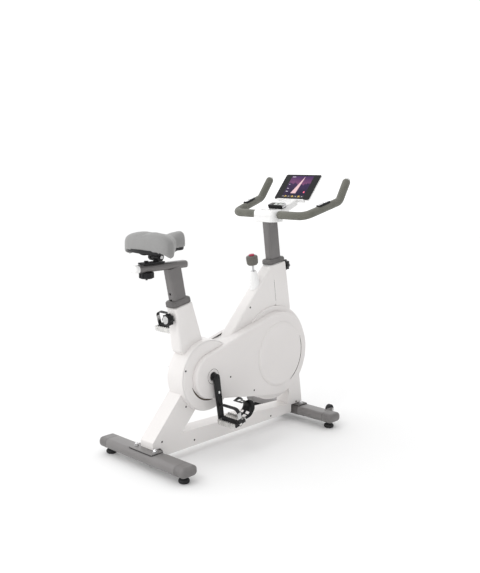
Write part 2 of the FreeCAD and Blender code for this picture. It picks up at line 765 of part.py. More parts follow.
def make_seat_post():
    """The upright post with the fore-and-aft tube welded on its top."""
    bottom = 435
    top = size("slide_z") - 8
    length = (top - bottom) / math.cos(math.radians(size("seat_tilt")))
    outer = oval_bar("seat_post_tube", size("seat_post_depth"), size("seat_post_width"),
                     size("post_corner"), length)
    post = outer.done((seat_at(bottom), 0, bottom), SEAT_TURN)
    core = oval_bar("seat_post_core", size("seat_post_depth") - 4, size("seat_post_width") - 4,
                    size("post_corner") - 2, length - 18)
    hollow = core.done((seat_at(bottom), 0, bottom), SEAT_TURN)
    holes = pin_holes("seat_hole", seat_at(475), 475, SEAT_TURN, True, 8)
    slide = Body("slide_tube")
    sketch = slide.sketch()
    draw_rounded(sketch, size("slide_tube_height"), size("slide_tube_width"), 12)
    slide.pad(sketch, 228)
    tube = slide.done((-476, 0, "slide_z"), ALONG_X)
    bore = Body("slide_bore")
    sketch = bore.sketch()
    draw_rounded(sketch, size("slide_tube_height") - 5, size("slide_tube_width") - 5, 9.5)
    bore.pad(sketch, 240)
    inside = bore.done((-480, 0, "slide_z"), ALONG_X)
    slot = box("slide_slot", (118, 10, 80), (-471, -5, "slide_z - 40"))
    post_only = cut("seat_post_only", post, [hollow] + holes)
    keep("seat_post", cut("seat_post", fuse("seat_weldment", [post_only, tube]), [inside, slot]))


def make_slide_caps():
    """Plugs in the two ends of the fore-and-aft tube; the rear one is a deep rounded cap."""
    rear = Body("slide_cap_rear")
    sketch = rear.sketch()
    draw_rounded(sketch, size("slide_tube_height"), size("slide_tube_width"), 12)
    rear.pad(sketch, 20)
    rear.round_edges(lambda edge: edge.CenterOfMass.z > 19.5, 7)
    front = Body("slide_cap_front")
    sketch = front.sketch()
    draw_rounded(sketch, size("slide_tube_height"), size("slide_tube_width"), 12)
    front.pad(sketch, 6)
    front.round_edges(lambda edge: edge.CenterOfMass.z > 5.5, 4)
    to_rear = Rotation(Vector(0, 1, 0), -90)
    keep("slide_end_caps", group("slide_end_caps", [rear.done((-476, 0, "slide_z"), to_rear),
                                                    front.done((-248, 0, "slide_z"), ALONG_X)]))


def lock_knob(label, x, z, turn, reach):
    """A pull knob with its steel pin; the pin stops just short of the post."""
    knob = fluted_knob(label + "_grip", "lock_knob_radius", "lock_knob_height", None)
    grip = knob.done((x, 0, z), turn)
    back = turn.multVec(Vector(0, 0, -reach))
    pin = cylinder(label + "_pin", "pin_radius", reach + 5, (x + back.x, 0, z), turn)
    keep(label, fuse(label, [grip, pin]))


def coil(label, x, z, turn, inner, length):
    """A compression spring, as the sleeve that its coils fill."""
    outer = cylinder(label + "_outer", inner + 2.5, length, (x, 0, z), turn)
    hole = cylinder(label + "_hole", inner, length, (x, 0, z), turn)
    keep(label, cut(label, outer, [hole]))


def make_locks():
    to_rear = Rotation(Vector(0, 1, 0), -90)
    seat_z = size("seat_lock_z")
    face = seat_at(seat_z) - size("seat_post_depth") / 2 / math.cos(math.radians(size("seat_tilt")))
    bush = seat_at(seat_z) - 44
    lock_knob("seat_lock_knob", bush - 9, seat_z, to_rear, face - bush + 9 - 1.2)
    coil("seat_lock_spring", bush - 8.5, seat_z, ALONG_X, 5, 8)
    bar_z = size("bar_lock_z")
    face = bar_at(bar_z) + size("bar_post_depth") / 2 / math.cos(math.radians(size("bar_tilt")))
    bush = bar_at(bar_z) + 50
    lock_knob("handlebar_lock_knob", bush + 9, bar_z, ALONG_X, bush + 9 - face - 1.2)
    coil("handlebar_lock_spring", bush + 0.5, bar_z, ALONG_X, 5, 8)


def make_carriage():
    """The plate that slides on the tube, its pillar and the clamping stud below."""
    top = "slide_z + slide_tube_height / 2 + body_gap"
    plate = box("carriage_plate", (98, 36, 7), (-457, -18, top))
    pillar = cylinder("carriage_pillar", 11, 16, ("saddle_x", 0, top))
    block = across("carriage_block", 13, 15, "saddle_x", "saddle_tilt_z")
    stud = cylinder("carriage_stud", "pin_radius", 62, (-433, 0, "slide_z - 44"))
    head = cylinder("carriage_head", 8, 13, (-433, 0, top))
    bore = across("carriage_bore", "pin_radius + fit_gap", 16, "saddle_x", "saddle_tilt_z")
    keep("saddle_carriage", cut("saddle_carriage", fuse("carriage_whole", [
        plate, pillar, block, stud, head]), [bore]))
    knob = fluted_knob("slide_knob", 28.5, 24, "pin_radius + fit_gap", 10)
    down = Rotation(Vector(1, 0, 0), 180)
    keep("slide_knob", knob.done((-433, 0, "slide_z - slide_tube_height / 2 - body_gap"), down))


def make_saddle_clamp():
    """Two cheeks that grip the rails, drawn together by one bolt."""
    cheeks = []
    for side in SIDES.values():
        y = "15 + body_gap" if side > 0 else "-(29 + body_gap)"
        cheek = cylinder("cheek_%d" % side, 15, 14, ("saddle_x", y, "saddle_tilt_z"), ALONG_Y)
        bore = across("cheek_bore_%d" % side, "pin_radius", 40, "saddle_x", "saddle_tilt_z")
        rail = cylinder("cheek_rail_%d" % side, "rail_radius", 60,
                        ("saddle_x - 30", "%d * rail_half" % side, "saddle_tilt_z + 9"), ALONG_X)
        cheeks.append(cut("cheek_cut_%d" % side, cheek, [bore, rail]))
    keep("saddle_clamp", group("saddle_clamp", cheeks))
    shank = across("clamp_shank", "pin_radius", 34, "saddle_x", "saddle_tilt_z")
    nuts = [cylinder("clamp_nut_%d" % side, 7, 5, ("saddle_x", 29.3 if side > 0 else -34.3,
                                                   "saddle_tilt_z"), ALONG_Y)
            for side in SIDES.values()]
    keep("saddle_clamp_bolt", fuse("saddle_clamp_bolt", [shank] + nuts))


def rail_pair(name, radius):
    """The two bent rods under the saddle, or with a larger radius the room they need."""
    rails = []
    low = size("saddle_tilt_z") + 9
    x = size("saddle_x")
    for side in SIDES.values():
        y = side * size("rail_half")
        path = [(x - 62, side * 34, low + 14), (x - 44, y, low), (x + 48, y, low),
                (x + 104, side * 12, low + 14)]
        rails.append(feature(name + "_%d" % (side + 1), rod_along(path, radius, 12)))
    return rails


def make_rails():
    keep("saddle_rails", group("saddle_rails", rail_pair("rail", size("rail_radius"))))


def saddle_outline():
    """Half of the saddle's plan, from the nose round to the middle of the rear edge."""
    half = size("saddle_width") / 2
    return [(-250, 0), (-254, 22), (-275, 31), (-325, 44), (-372, 92), (-405, half - 6),
            (-430, half), (-452, half - 18), (-462, 70), (-458, 0)]


def saddle_solid(name, low, high, shrink):
    curve = Part.BSplineCurve()
    half = saddle_outline()
    whole = half + [(x, -y) for x, y in reversed(half[1:-1])]
    centre = -350
    points = [Vector(centre + (x - centre) * shrink, y * shrink, low) for x, y in whole]
    curve.interpolate(points, PeriodicFlag=True)
    face = Part.Face(Part.Wire(curve.toShape()))
    return feature(name, face.extrude(Vector(0, 0, high - low)))


def make_saddle():
    room = rail_pair("rail_room", size("rail_radius") + size("body_gap"))
    foot = size("saddle_foot")
    plate = saddle_solid("base_plate", foot - 12, foot, 0.93)
    keep("saddle_base", cut("saddle_base", plate, room))
    keep("saddle_cushion", saddle_solid("saddle_cushion", foot, size("saddle_top"), 1.0))


# ---------------------------------------------------------------- handlebar

def make_handlebar_post():
    bottom = 600
    top = 905
    length = (top - bottom) / math.cos(math.radians(size("bar_tilt")))
    tube = oval_bar("bar_post_tube", size("bar_post_depth"), size("bar_post_width"),
                    size("post_corner"), length, size("tube_wall"))
    post = tube.done((bar_at(bottom), 0, bottom), BAR_TURN)
    holes = pin_holes("bar_hole", bar_at(622), 622, BAR_TURN, False, 10)
    keep("handlebar_post", cut("handlebar_post", post, holes))


def bar_path(side):
    """The handlebar's centre line, from the middle out to one tip."""
    x = size("bar_centre_x")
    z = size("bar_height")
    return [(x, 0, z), (x, side * 196, z), (425, side * 222, 977), (487, side * 217, 1068)]


def make_handlebar():
    """The bent steel tube, and the foam sleeve on each side of it."""
    halves = [rod_along(bar_path(side), size("bar_radius"), 40) for side in SIDES.values()]
    keep("handlebar_tube", feature("handlebar_tube", halves[0].fuse(halves[1]).removeSplitter()))
    sleeves = []
    for side_name, side in SIDES.items():
        path = bar_path(side)
        path[0] = (path[0][0], side * 57, path[0][2])
        outer = rod_along(path, size("grip_radius"), 40, caps=True)
        sleeves.append(feature("foam_" + side_name, outer.cut(halves[0].fuse(halves[1]))))
    keep("foam_grips", group("foam_grips", sleeves))


def make_stem_housing():
    part = Body("stem_block")
    sketch = part.sketch()
    draw_rounded(sketch, 80, 112, 18)
    part.pad(sketch, 50)
    part.round_edges(lambda edge: edge.CenterOfMass.z > 49.5, 12)
    block = part.done((230, 0, 892))
    tube = across("stem_bar_way", "bar_radius", 60, "bar_centre_x", "bar_height")
    post = post_channel("stem_post_way", size("bar_x"), size("bar_z"), BAR_TURN,
                        size("bar_post_depth"), size("bar_post_width"), 175, 0)
    keep("stem_housing", cut("stem_housing", block, [tube, post]))


def arm_point(side, share):
    """A point on the grip's arm between its bend and its knee."""
    _, bend, knee, _ = bar_path(side)
    return Vector(*bend) + (Vector(*knee) - Vector(*bend)) * share


def make_pulse_sensors():
    """An oval base strapped on top of each arm."""
    bases = []
    for side_name, side in SIDES.items():
        part = Body("sensor_" + side_name)
        sketch = part.sketch()
        draw_rounded(sketch, 72, 24, 11.5)
        part.pad(sketch, 9)
        part.round_edges(lambda edge: edge.CenterOfMass.z > 8.5, 3)
        spot = arm_point(side, 0.55)
        along = arm_point(side, 1) - arm_point(side, 0)
        turn = Rotation(along, Vector(0, 0, 0), Vector(0, 0, 1), "XZY")
        base = part.done((spot.x - 3, spot.y, spot.z + 13), turn)
        grip = feature("sensor_grip_" + side_name,
                       rod_along(bar_path(side), size("grip_radius"), 40))
        bases.append(cut("sensor_cut_" + side_name, base, [grip]))
    keep("pulse_sensors", group("pulse_sensors", bases))


def make_console():
    part = Body("meter_block")
    sketch = part.sketch()
    draw_rounded(sketch, 34, 82, 8)
    part.pad(sketch, 18)
    part.round_edges(lambda edge: edge.CenterOfMass.z > 17.5, 4)
    lean = Rotation(Vector(0, 1, 0), -18)
    block = part.done((288, 0, 948), lean)
    up = lean.multVec(Vector(0, 0, 1))
    spot = Vector(288, 0, 948) + up * 13
    well = cylinder("meter_well", "5.2", 8, (spot.x, 22, spot.z), lean)
    keep("console_meter", cut("console_meter", block, [well]))
    press = Vector(288, 0, 948) + up * 15
    keep("console_button", cylinder("console_button", 5, 5, (press.x, 22, press.z), lean))


def make_tablet():
    """The tablet on its tray, leaning back from the rider."""
    lean = Rotation(Vector(0, 1, 0), size("tablet_tilt"))
    foot = Vector(377, 0, 977)
    out = lean.multVec(Vector(-1, 0, 0))
    up = lean.multVec(Vector(0, 0, 1))
    part = Body("tablet")
    sketch = part.sketch("YZ_Plane")
    tall = size("tablet_height")
    draw_rounded(sketch, size("tablet_width"), tall, 9, (0, tall / 2))
    part.pad(sketch, "tablet_thickness", middle=True)
    keep("tablet", part.done(tuple(foot), lean))
    plate_at = foot - out * 4.3 - up * 3 + Vector(0, -75, 0)
    plate = box("tray_plate", (5, 150, 115), tuple(plate_at), lean)
    lip_at = foot + out * 10 - up * 5.3 + Vector(0, -75, 0)
    lip = box("tray_lip", (20, 150, 5), tuple(lip_at), lean)
    edge = box("tray_edge", (4, 150, 12), tuple(lip_at), lean)
    arm_points = [(250, 915), (250, 936), (320, 960), (369, 980), (381, 969.5), (386, 955),
                  (330, 934), (280, 915)]
    arm = side_plate("tray_arm", arm_points, -34, 34)
    meter_lean = Rotation(Vector(0, 1, 0), -18)
    meter_foot = Vector(288, 0, 948) + meter_lean.multVec(Vector(-30, 0, -0.01))
    keep("tablet_tray", cut("tablet_tray", fuse("tray_whole", [plate, lip, edge, arm]), [
        box("tray_stem_cut", (90.2, 114, 60), (180, -57, 890)),
        box("tray_meter_cut", (60, 90, 40), (meter_foot.x, -45, meter_foot.z), meter_lean),
        box("tray_tablet_cut", (9.2, 210, 160), tuple(foot + out * 4.3 + Vector(0, -105, 0)), lean)]))


# ---------------------------------------------------------------- brake

def brake_part(thing, height):
    """Stand a brake piece on the rod's axis, its foot at a height."""
    return place(thing, (brake_point(height), 0, height), brake_turn())


def make_brake():
    top = size("brake_top")
    turn = brake_turn()
    cone = doc.addObject("Part::Cone", "boss_cone")
    cone.Radius1 = 25
    cone.Radius2 = 12.5
    cone.Height = 78
    brake_part(cone, top - 77)
    seat = side_plate("boss_seat", [(20, 500), (160, 642), (205, 690), (260, 560)],
                      "-(neck_half + 1)", "neck_half + 1")
    bore = cylinder("boss_bore", "brake_rod_radius + fit_gap", 20,
                    (brake_point(top - 14), 0, top - 14), turn)
    room = cylinder("boss_room", 9, 80, (brake_point(top - 88), 0, top - 88), turn)
    keep("brake_boss", cut("brake_boss", cone, [seat, bore, room]))
    rod = cylinder("brake_rod_bar", "brake_rod_radius", 210, (brake_point(524), 0, 524), turn)
    collar = cylinder("brake_rod_collar", 8, 4, (brake_point(top - 47), 0, top - 47), turn)
    keep("brake_rod", fuse("brake_rod", [rod, collar]))
    coil("brake_spring", brake_point(top - 42.5), top - 42.5, turn, 5, 32)
    knob = fluted_knob("brake_knob", 25, 41, "brake_rod_radius + fit_gap", 6)
    keep("brake_knob", brake_part(knob.body, 716))
    cap = Body("brake_cap")
    cap.revolve([(0, 0), (12, 0), (12, 3.6), (10, 5.6), (0, 6)])
    keep("brake_cap", brake_part(cap.body, 716 + 41.2 * math.cos(math.radians(size("brake_tilt")))))
    make_magnet_bracket()


def make_magnet_bracket():
    """A pivoted yoke that lowers magnets either side of the flywheel's rim."""
    x, z = MAGNET_PIVOT
    top = [(x, z - 6), (x, z + 6), (x + 83, z + 22), (x + 83, z + 15)]
    cheek = [(x + 8, z - 2), (x + 78, z + 18), (x + 84, z), (x + 38, z - 26), (x + 18, z - 22)]
    parts = [side_plate("yoke_top", top, -16, 16), across("yoke_boss", 7, 16, x, z)]
    for side in SIDES.values():
        start, end = (12, 16) if side < 0 else (-16, -12)
        parts.append(side_plate("yoke_cheek_%d" % (side + 1), cheek, start, end))
    bore = across("yoke_bore", "pin_radius + fit_gap", 20, x, z)
    keep("magnet_bracket", cut("magnet_bracket", fuse("yoke_whole", parts), [bore]))


# ---------------------------------------------------------------- drive

def make_crankset():
    spindle = across("spindle_bar", "spindle_radius", "crank_inner + crank_thickness",
                     "crank_x", "crank_z")
    keep("crank_spindle", spindle)
    angle = size("crank_angle")
    for side_name, side in SIDES.items():
        label = side_name + "_crank"
        part = Body(label + "_arm")
        sketch = part.sketch("XZ_Plane")
        length = size("crank_length")
        wide = size("crank_width")
        draw_rounded(sketch, wide, length + wide + 4, wide / 2 - 0.01, (0, -length / 2))
        part.pad(sketch, "crank_thickness")
        boss = part.sketch("XZ_Plane")
        draw_circle(boss, 15)
        part.pad(boss, "crank_inner - hub_inner", back=True)
        hole = part.sketch("XZ_Plane")
        draw_circle(hole, "spindle_radius")
        part.pocket(hole)
        pedal_hole = part.sketch("XZ_Plane")
        draw_circle(pedal_hole, "pedal_spindle_radius", (0, -length))
        part.pocket(pedal_hole)
        turn = Rotation(Vector(0, 1, 0), -angle if side < 0 else 180 - angle)
        half_turn = Rotation(Vector(0, 0, 1), 0 if side < 0 else 180)
        y = "%d * crank_inner" % side
        keep(label, part.done(("crank_x", y, "crank_z"), turn.multiply(half_turn)))


def pedal_spot(side):
    """The pedal axle's place in the side view."""
    angle = math.radians(size("crank_angle"))
    length = size("crank_length") * (1 if side < 0 else -1)
    return size("crank_x") + length * math.sin(angle), size("crank_z") - length * math.cos(angle)


def make_pedals():
    spindles = []
    for side_name, side in SIDES.items():
        x, z = pedal_spot(side)
        start = size("crank_inner") if side > 0 else -size("crank_inner") - 106
        spindles.append(cylinder("pedal_spindle_" + side_name, "pedal_spindle_radius", 106,
                                 (x, start, z), ALONG_Y))
        make_pedal(side_name, side, x, z)
        make_toe_cage(side_name, side, x, z)
    keep("pedal_spindles", group("pedal_spindles", spindles))


def tip_up(thing, x, z):
    """Hang a pedal piece on its axle with its toe end up."""
    turn = Rotation(Vector(0, 1, 0), -size("pedal_tilt"))
    thing.Placement = Placement(Vector(), turn, Vector(x, 0, z))
    return thing


def make_pedal(side_name, side, x, z):
    """A metal platform pedal: barrel, two toothed plates and the end webs."""
    first = size("pedal_start")
    wide = size("pedal_width")
    low = first if side > 0 else -first - wide
    long = size("pedal_length")
    name = side_name + "_pedal"
    barrel = cylinder(name + "_barrel", 11.5, wide, (x, low, z), ALONG_Y)
    parts = [barrel]
    for end in (-1, 1):
        plate_x = x + end * (long / 2 - 2) - 2
        parts.append(box("%s_plate_%d" % (name, end), (4, wide, "pedal_height"),
                         (plate_x, low, z - 12)))
        web_y = low if end < 0 else low + wide - 5
        parts.append(box("%s_web_%d" % (name, end), (long, 5, 14), (x - long / 2, web_y, z - 7)))
    notches = []
    for end in (-1, 1):
        for level in (-1, 1):
            for number in range(7):
                y = low + 12 + number * 12
                notches.append(cylinder("%s_notch_%d_%d_%d" % (name, end, level, number), 3.5, 12,
                                        (x + end * (long / 2 - 2) - 6, y, z + level * 13), ALONG_X))
    bore = cylinder(name + "_bore", "pedal_spindle_radius + fit_gap", wide + 2, (x, low - 1, z),
                    ALONG_Y)
    keep(name, tip_up(cut(name, fuse(name + "_whole", parts), notches + [bore]), x, z))


def band(points, thickness, wide):
    """A flat band bent along a path in the side view, its width across the bike."""
    spots = [Vector(px, 0, pz) for px, pz in points]
    outer = []
    for start, end in zip(spots, spots[1:]):
        along = (end - start).normalize()
        off = Vector(-along.z, 0, along.x) * thickness / 2
        ring = Part.makePolygon([start + off, end + off, end - off, start - off, start + off])
        outer.append(Part.Face(ring).extrude(Vector(0, wide, 0)))
    for corner in spots[1:-1]:
        outer.append(Part.makeCylinder(thickness / 2, wide, corner, Vector(0, 1, 0)))
    return outer[0].multiFuse(outer[1:]).removeSplitter()


def make_toe_cage(side_name, side, x, z):
    """A toe clip bent forward and up from the pedal's front plate, with its strap."""
    name = side_name + "_toe_cage"
    front = x + size("pedal_length") / 2
    low = size("pedal_start") if side > 0 else -size("pedal_start") - size("pedal_width")
    path = [(front + 1.4, z - 6), (front + 42, z - 2), (front + 62, z + 14), (front + 64, z + 34),
            (front + 48, z + 52), (front + 14, z + 60)]
    shape = band(path, 2.6, 62)
    shape.translate(Vector(0, low + 17, 0))
    window = Part.makeBox(26, 30, 40, Vector(front + 12, low + 33, z - 20))
    gap = Part.makeBox(40, 26, 22, Vector(front + 40, low + 35, z + 12))
    clip = feature(name + "_clip", shape.cut(window).cut(gap))
    strap_x = x - 8
    wide = size("pedal_width")
    outside = box(name + "_strap_out", (16, wide + 5, 78), (strap_x, low - 2.5, z - 14.2))
    inside = box(name + "_strap_in", (16, wide + 0.6, 73), (strap_x, low - 0.3, z - 12))
    way = across(name + "_way", "pedal_spindle_radius + 2", 220, x, z)
    keep(name, tip_up(group(name, [clip, cut(name + "_strap", outside, [inside, way])]), x, z))


def make_drive():
    pulley = Body("drive_pulley")
    drive = size("drive_radius")
    half = size("belt_width") / 2
    inner = size("spindle_radius")
    pulley.revolve([(inner, -12), (22, -12), (22, -3), (drive - 12, -3), (drive - 8, -half),
                    (drive, -half), (drive, half), (drive - 8, half), (drive - 12, 3), (22, 3),
                    (22, 8), (inner, 8)])
    window = pulley.sketch()
    draw_circle(window, 13, (drive * 0.56, 0))
    pulley.repeat(pulley.pocket(window), 6)
    keep("drive_pulley", pulley.done(("crank_x", "-belt_y", "crank_z"), TO_RIGHT))
    gap = size("body_gap")
    crank = (size("crank_x"), size("crank_z"))
    wheel = (size("wheel_x"), size("wheel_z"))
    low, high = "belt_y - belt_width / 2", "belt_y + belt_width / 2"
    inside = tangent_loop("belt_inside", (*crank, drive + gap), (*wheel, size("driven_radius") + gap))
    thick = size("belt_thickness") + gap
    outside = tangent_loop("belt_outside", (*crank, drive + thick),
                           (*wheel, size("driven_radius") + thick))
    keep("drive_belt", cut("drive_belt", extrude("belt_full", outside, low, high),
                           [extrude("belt_room", inside, low + " - 1", high + " + 1")]))
    make_flywheel()


def make_flywheel():
    wheel = Body("flywheel")
    rim = size("flywheel_radius")
    half = size("flywheel_rim") / 2
    bore = size("axle_radius")
    wheel.revolve([(bore, -16), (24, -16), (30, -5), (rim - 46, -5), (rim - 40, -half), (rim, -half),
                   (rim, half), (rim - 40, half), (rim - 46, 5), (30, 5), (24, 16), (bore, 16)])
    keep("flywheel", wheel.done(("wheel_x", 0, "wheel_z"), TO_RIGHT))
    shaft = cylinder("axle_shaft", "axle_radius", 98, ("wheel_x", -60, "wheel_z"), ALONG_Y)
    driven = cylinder("axle_pulley", "driven_radius", "belt_width",
                      ("wheel_x", "-belt_y - belt_width / 2", "wheel_z"), ALONG_Y)
    keep("flywheel_axle", fuse("flywheel_axle", [shaft, driven]))


# ---------------------------------------------------------------- build and write

def build():
    stabiliser("rear_stabiliser", "rear_foot_x")
    stabiliser("front_stabiliser", "front_foot_x")
    make_end_caps()
    make_transport_wheels()
    make_feet()
    make_stabiliser_bolts()
    make_main_frame()
    make_bearings()
    for side_name in SIDES:
        make_shell(side_name)
    make_head_cover()
    make_drive_covers()
    make_cover_screws()
    make_collar("seat_collar", seat_at(604), 604, SEAT_TURN, 94, 58, size("seat_post_depth"),
                size("seat_post_width"), 23)
    make_seat_post()
    make_slide_caps()
    make_locks()
    make_carriage()
    make_saddle_clamp()
    make_rails()
    make_saddle()
    make_collar("handlebar_collar", bar_at(716), 716, BAR_TURN, 98, 57, size("bar_post_depth"),
                size("bar_post_width"), 20)
    make_handlebar_post()
    make_handlebar()
    make_stem_housing()
    make_pulse_sensors()
    make_console()
    make_tablet()
    make_brake()
    make_crankset()
    make_pedals()
    make_drive()
    doc.recompute()


def check():
    """Stop before anything is written if any object failed."""
    faults = [thing.Label for thing in doc.Objects
              if "Invalid" in thing.State or "Error" in thing.State]
    for label, thing in nodes.items():
        if thing.Shape.isNull() or not thing.Shape.isValid() or not thing.Shape.Solids:
            faults.append(label)
    if faults:
        raise ValueError("failed: " + ", ".join(faults))


build()
check()
os.makedirs("parts", exist_ok=True)
for label, thing in nodes.items():
    thing.Shape.exportStep("parts/%s.step" % label)
print(len(nodes), "pieces written")
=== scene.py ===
"""Exercise bike: the looks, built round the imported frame. Lengths in the code are millimetres."""
import json
import math

import bmesh
import bpy
from mathutils import Matrix, Vector, noise


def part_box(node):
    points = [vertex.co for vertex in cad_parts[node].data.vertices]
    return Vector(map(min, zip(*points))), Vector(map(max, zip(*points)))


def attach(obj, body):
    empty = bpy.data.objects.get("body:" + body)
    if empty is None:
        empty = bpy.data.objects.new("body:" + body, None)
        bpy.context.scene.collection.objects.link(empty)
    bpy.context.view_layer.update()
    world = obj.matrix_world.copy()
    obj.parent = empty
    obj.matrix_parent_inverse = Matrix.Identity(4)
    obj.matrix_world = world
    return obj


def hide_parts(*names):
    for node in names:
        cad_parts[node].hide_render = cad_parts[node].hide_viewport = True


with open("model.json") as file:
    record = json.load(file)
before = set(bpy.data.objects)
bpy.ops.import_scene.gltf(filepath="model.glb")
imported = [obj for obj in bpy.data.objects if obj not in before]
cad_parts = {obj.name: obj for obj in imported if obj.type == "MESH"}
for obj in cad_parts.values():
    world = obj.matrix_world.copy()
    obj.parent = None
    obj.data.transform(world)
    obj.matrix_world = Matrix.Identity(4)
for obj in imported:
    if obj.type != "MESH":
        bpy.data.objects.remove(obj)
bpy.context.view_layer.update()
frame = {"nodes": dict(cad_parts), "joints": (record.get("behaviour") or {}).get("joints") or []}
MM = 0.001


# ---------------------------------------------------------------- places, read from the frame

def joint_spot(name):
    """A hinge's point in millimetres."""
    found = next(row for row in frame["joints"] if row["name"] == name)
    return Vector(found["pos_m"]) / MM


def slide_line(name):
    return Vector(next(row for row in frame["joints"] if row["name"] == name)["axis"])


def node_box(name):
    low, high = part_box(name)
    return low / MM, high / MM


def node_middle(name):
    low, high = node_box(name)
    return (low + high) / 2


CRANK = joint_spot("crank_spin")
WHEEL = joint_spot("flywheel_spin")
TILT = joint_spot("saddle_tilt")
SEAT_LINE = slide_line("seat_post_slide")
BAR_LINE = slide_line("handlebar_post_slide")
BRAKE_LINE = -slide_line("brake_press")
ALONG_X = Vector((1, 0, 0))
ALONG_Y = Vector((0, 1, 0))
ALONG_Z = Vector((0, 0, 1))
SIDES = {"right": -1, "left": 1}
STABILISER_HEIGHT = 47.0  # the middle of the stabilisers' tubes
PLUG_START = 203.4
PLUG_END = 250
PLUG_ROUND = 13
BARE_BAR = 57.5  # how far the bar's middle stays clear of foam
STEM_FOOT = (230, 0, 892)


# ---------------------------------------------------------------- node graphs

class Output:
    """A node's output; sums written with it add Math nodes."""

    def __init__(self, graph, socket):
        self.graph = graph
        self.socket = socket

    def sum_with(self, operation, first, second):
        return self.graph.node("ShaderNodeMath", {"operation": operation}, {0: first, 1: second})

    def __add__(self, other):
        return self.sum_with("ADD", self, other)

    def __radd__(self, other):
        return self.sum_with("ADD", other, self)

    def __sub__(self, other):
        return self.sum_with("SUBTRACT", self, other)

    def __rsub__(self, other):
        return self.sum_with("SUBTRACT", other, self)

    def __mul__(self, other):
        return self.sum_with("MULTIPLY", self, other)

    def __rmul__(self, other):
        return self.sum_with("MULTIPLY", other, self)

    def __truediv__(self, other):
        return self.sum_with("DIVIDE", self, other)

    def __gt__(self, other):
        return self.sum_with("GREATER_THAN", self, other)

    def __lt__(self, other):
        return self.sum_with("LESS_THAN", self, other)


class Graph:
    """A node tree being built; every node is made by one method."""

    def __init__(self, tree):
        self.tree = tree

    def node(self, kind, settings=None, inputs=None, output=0):
        made = self.tree.nodes.new(kind)
        for key, value in (settings or {}).items():
            if key == "stops":
                self.set_stops(made.color_ramp, value)
            else:
                setattr(made, key, value)
        for key, value in (inputs or {}).items():
            self.feed(made.inputs[key], value)
        return Output(self, made.outputs[output])

    def feed(self, socket, value):
        if isinstance(value, Output):
            self.tree.links.new(value.socket, socket)
        else:
            socket.default_value = value

    @staticmethod
    def set_stops(ramp, stops):
        while len(ramp.elements) < len(stops):
            ramp.elements.new(0.5)
        for element, (position, colour) in zip(ramp.elements, stops):
            element.position = position
            element.color = (*colour, 1) if len(colour) == 3 else colour


class Finish(Graph):
    """A surface finish: a Principled shader and the nodes that feed it."""

    def __init__(self, name, **constants):
        self.material = bpy.data.materials.new(name)
        self.material.use_nodes = True
        super().__init__(self.material.node_tree)
        self.tree.nodes.clear()
        self.shader = self.tree.nodes.new("ShaderNodeBsdfPrincipled")
        output = self.tree.nodes.new("ShaderNodeOutputMaterial")
        self.tree.links.new(self.shader.outputs[0], output.inputs[0])
        for key, value in constants.items():
            self.shader.inputs[key.replace("_", " ")].default_value = value
        self.place = self.node("ShaderNodeTexCoord", output="Object")

    def set(self, **values):
        for key, value in values.items():
            self.feed(self.shader.inputs[key.replace("_", " ")], value)
        return self.material

    def grain(self, scale, detail=2.0, rough=0.5, stretch=None):
        """Noise on object coordinates, from 0 to 1."""
        where = self.place
        if stretch:
            where = self.node("ShaderNodeMapping", None, {"Vector": where, "Scale": stretch})
        return self.node("ShaderNodeTexNoise", None, {"Vector": where, "Scale": scale,
                                                      "Detail": detail, "Roughness": rough})

    def cells(self, scale, feature="F1"):
        return self.node("ShaderNodeTexVoronoi", {"feature": feature},
                         {"Vector": self.place, "Scale": scale})

    def spread(self, value, low, high, to_low, to_high):
        """The value's stretch from low to high, spread over another range."""
        return self.node("ShaderNodeMapRange", None, {
            "Value": value, "From Min": low, "From Max": high, "To Min": to_low,
            "To Max": to_high})

    def blend(self, share, first, second):
        made = self.tree.nodes.new("ShaderNodeMix")
        made.data_type = "RGBA"
        for socket, value in ((0, share), (6, first), (7, second)):
            if isinstance(value, tuple):
                value = (*value, 1)
            self.feed(made.inputs[socket], value)
        return Output(self, made.outputs[2])

    def bump(self, height, depth_mm, strength=1.0):
        return self.node("ShaderNodeBump", None, {"Height": height, "Strength": strength,
                                                  "Distance": depth_mm * MM})


def shade(colour, factor):
    return tuple(channel * factor for channel in colour)


# ---------------------------------------------------------------- finishes

def gloss_moulding(name, colour, roughness=0.3):
    """Glossy moulded plastic: faint colour drift, fine texture in the gloss."""
    made = Finish(name, Coat_Weight=0.25, Coat_Roughness=0.12, IOR=1.46)
    drift = made.grain(5.0, 3.0)
    speck = made.grain(900.0, 2.0)
    return made.set(
        Base_Color=made.blend(made.spread(drift, 0.3, 0.7, 0, 1), shade(colour, 0.965), colour),
        Roughness=made.spread(speck, 0.2, 0.8, roughness - 0.04, roughness + 0.06),
        Normal=made.bump(speck, 0.012, 0.35))


def powder_coat(name, colour, roughness=0.42, metallic=0.0):
    """Sprayed and baked paint on steel, with its slight orange peel."""
    made = Finish(name, Metallic=metallic, Coat_Weight=0.12, Coat_Roughness=0.3)
    peel = made.grain(420.0, 2.0)
    drift = made.grain(9.0, 4.0)
    fleck = made.cells(2600.0)
    lit = made.blend(made.spread(drift, 0.3, 0.7, 0, 1), shade(colour, 0.92), shade(colour, 1.06))
    return made.set(
        Base_Color=made.blend(made.spread(fleck, 0.0, 0.5, 0.12, 0.0), lit, shade(colour, 1.5)),
        Roughness=made.spread(peel, 0.25, 0.75, roughness - 0.05, roughness + 0.08),
        Normal=made.bump(peel, 0.05, 0.5))


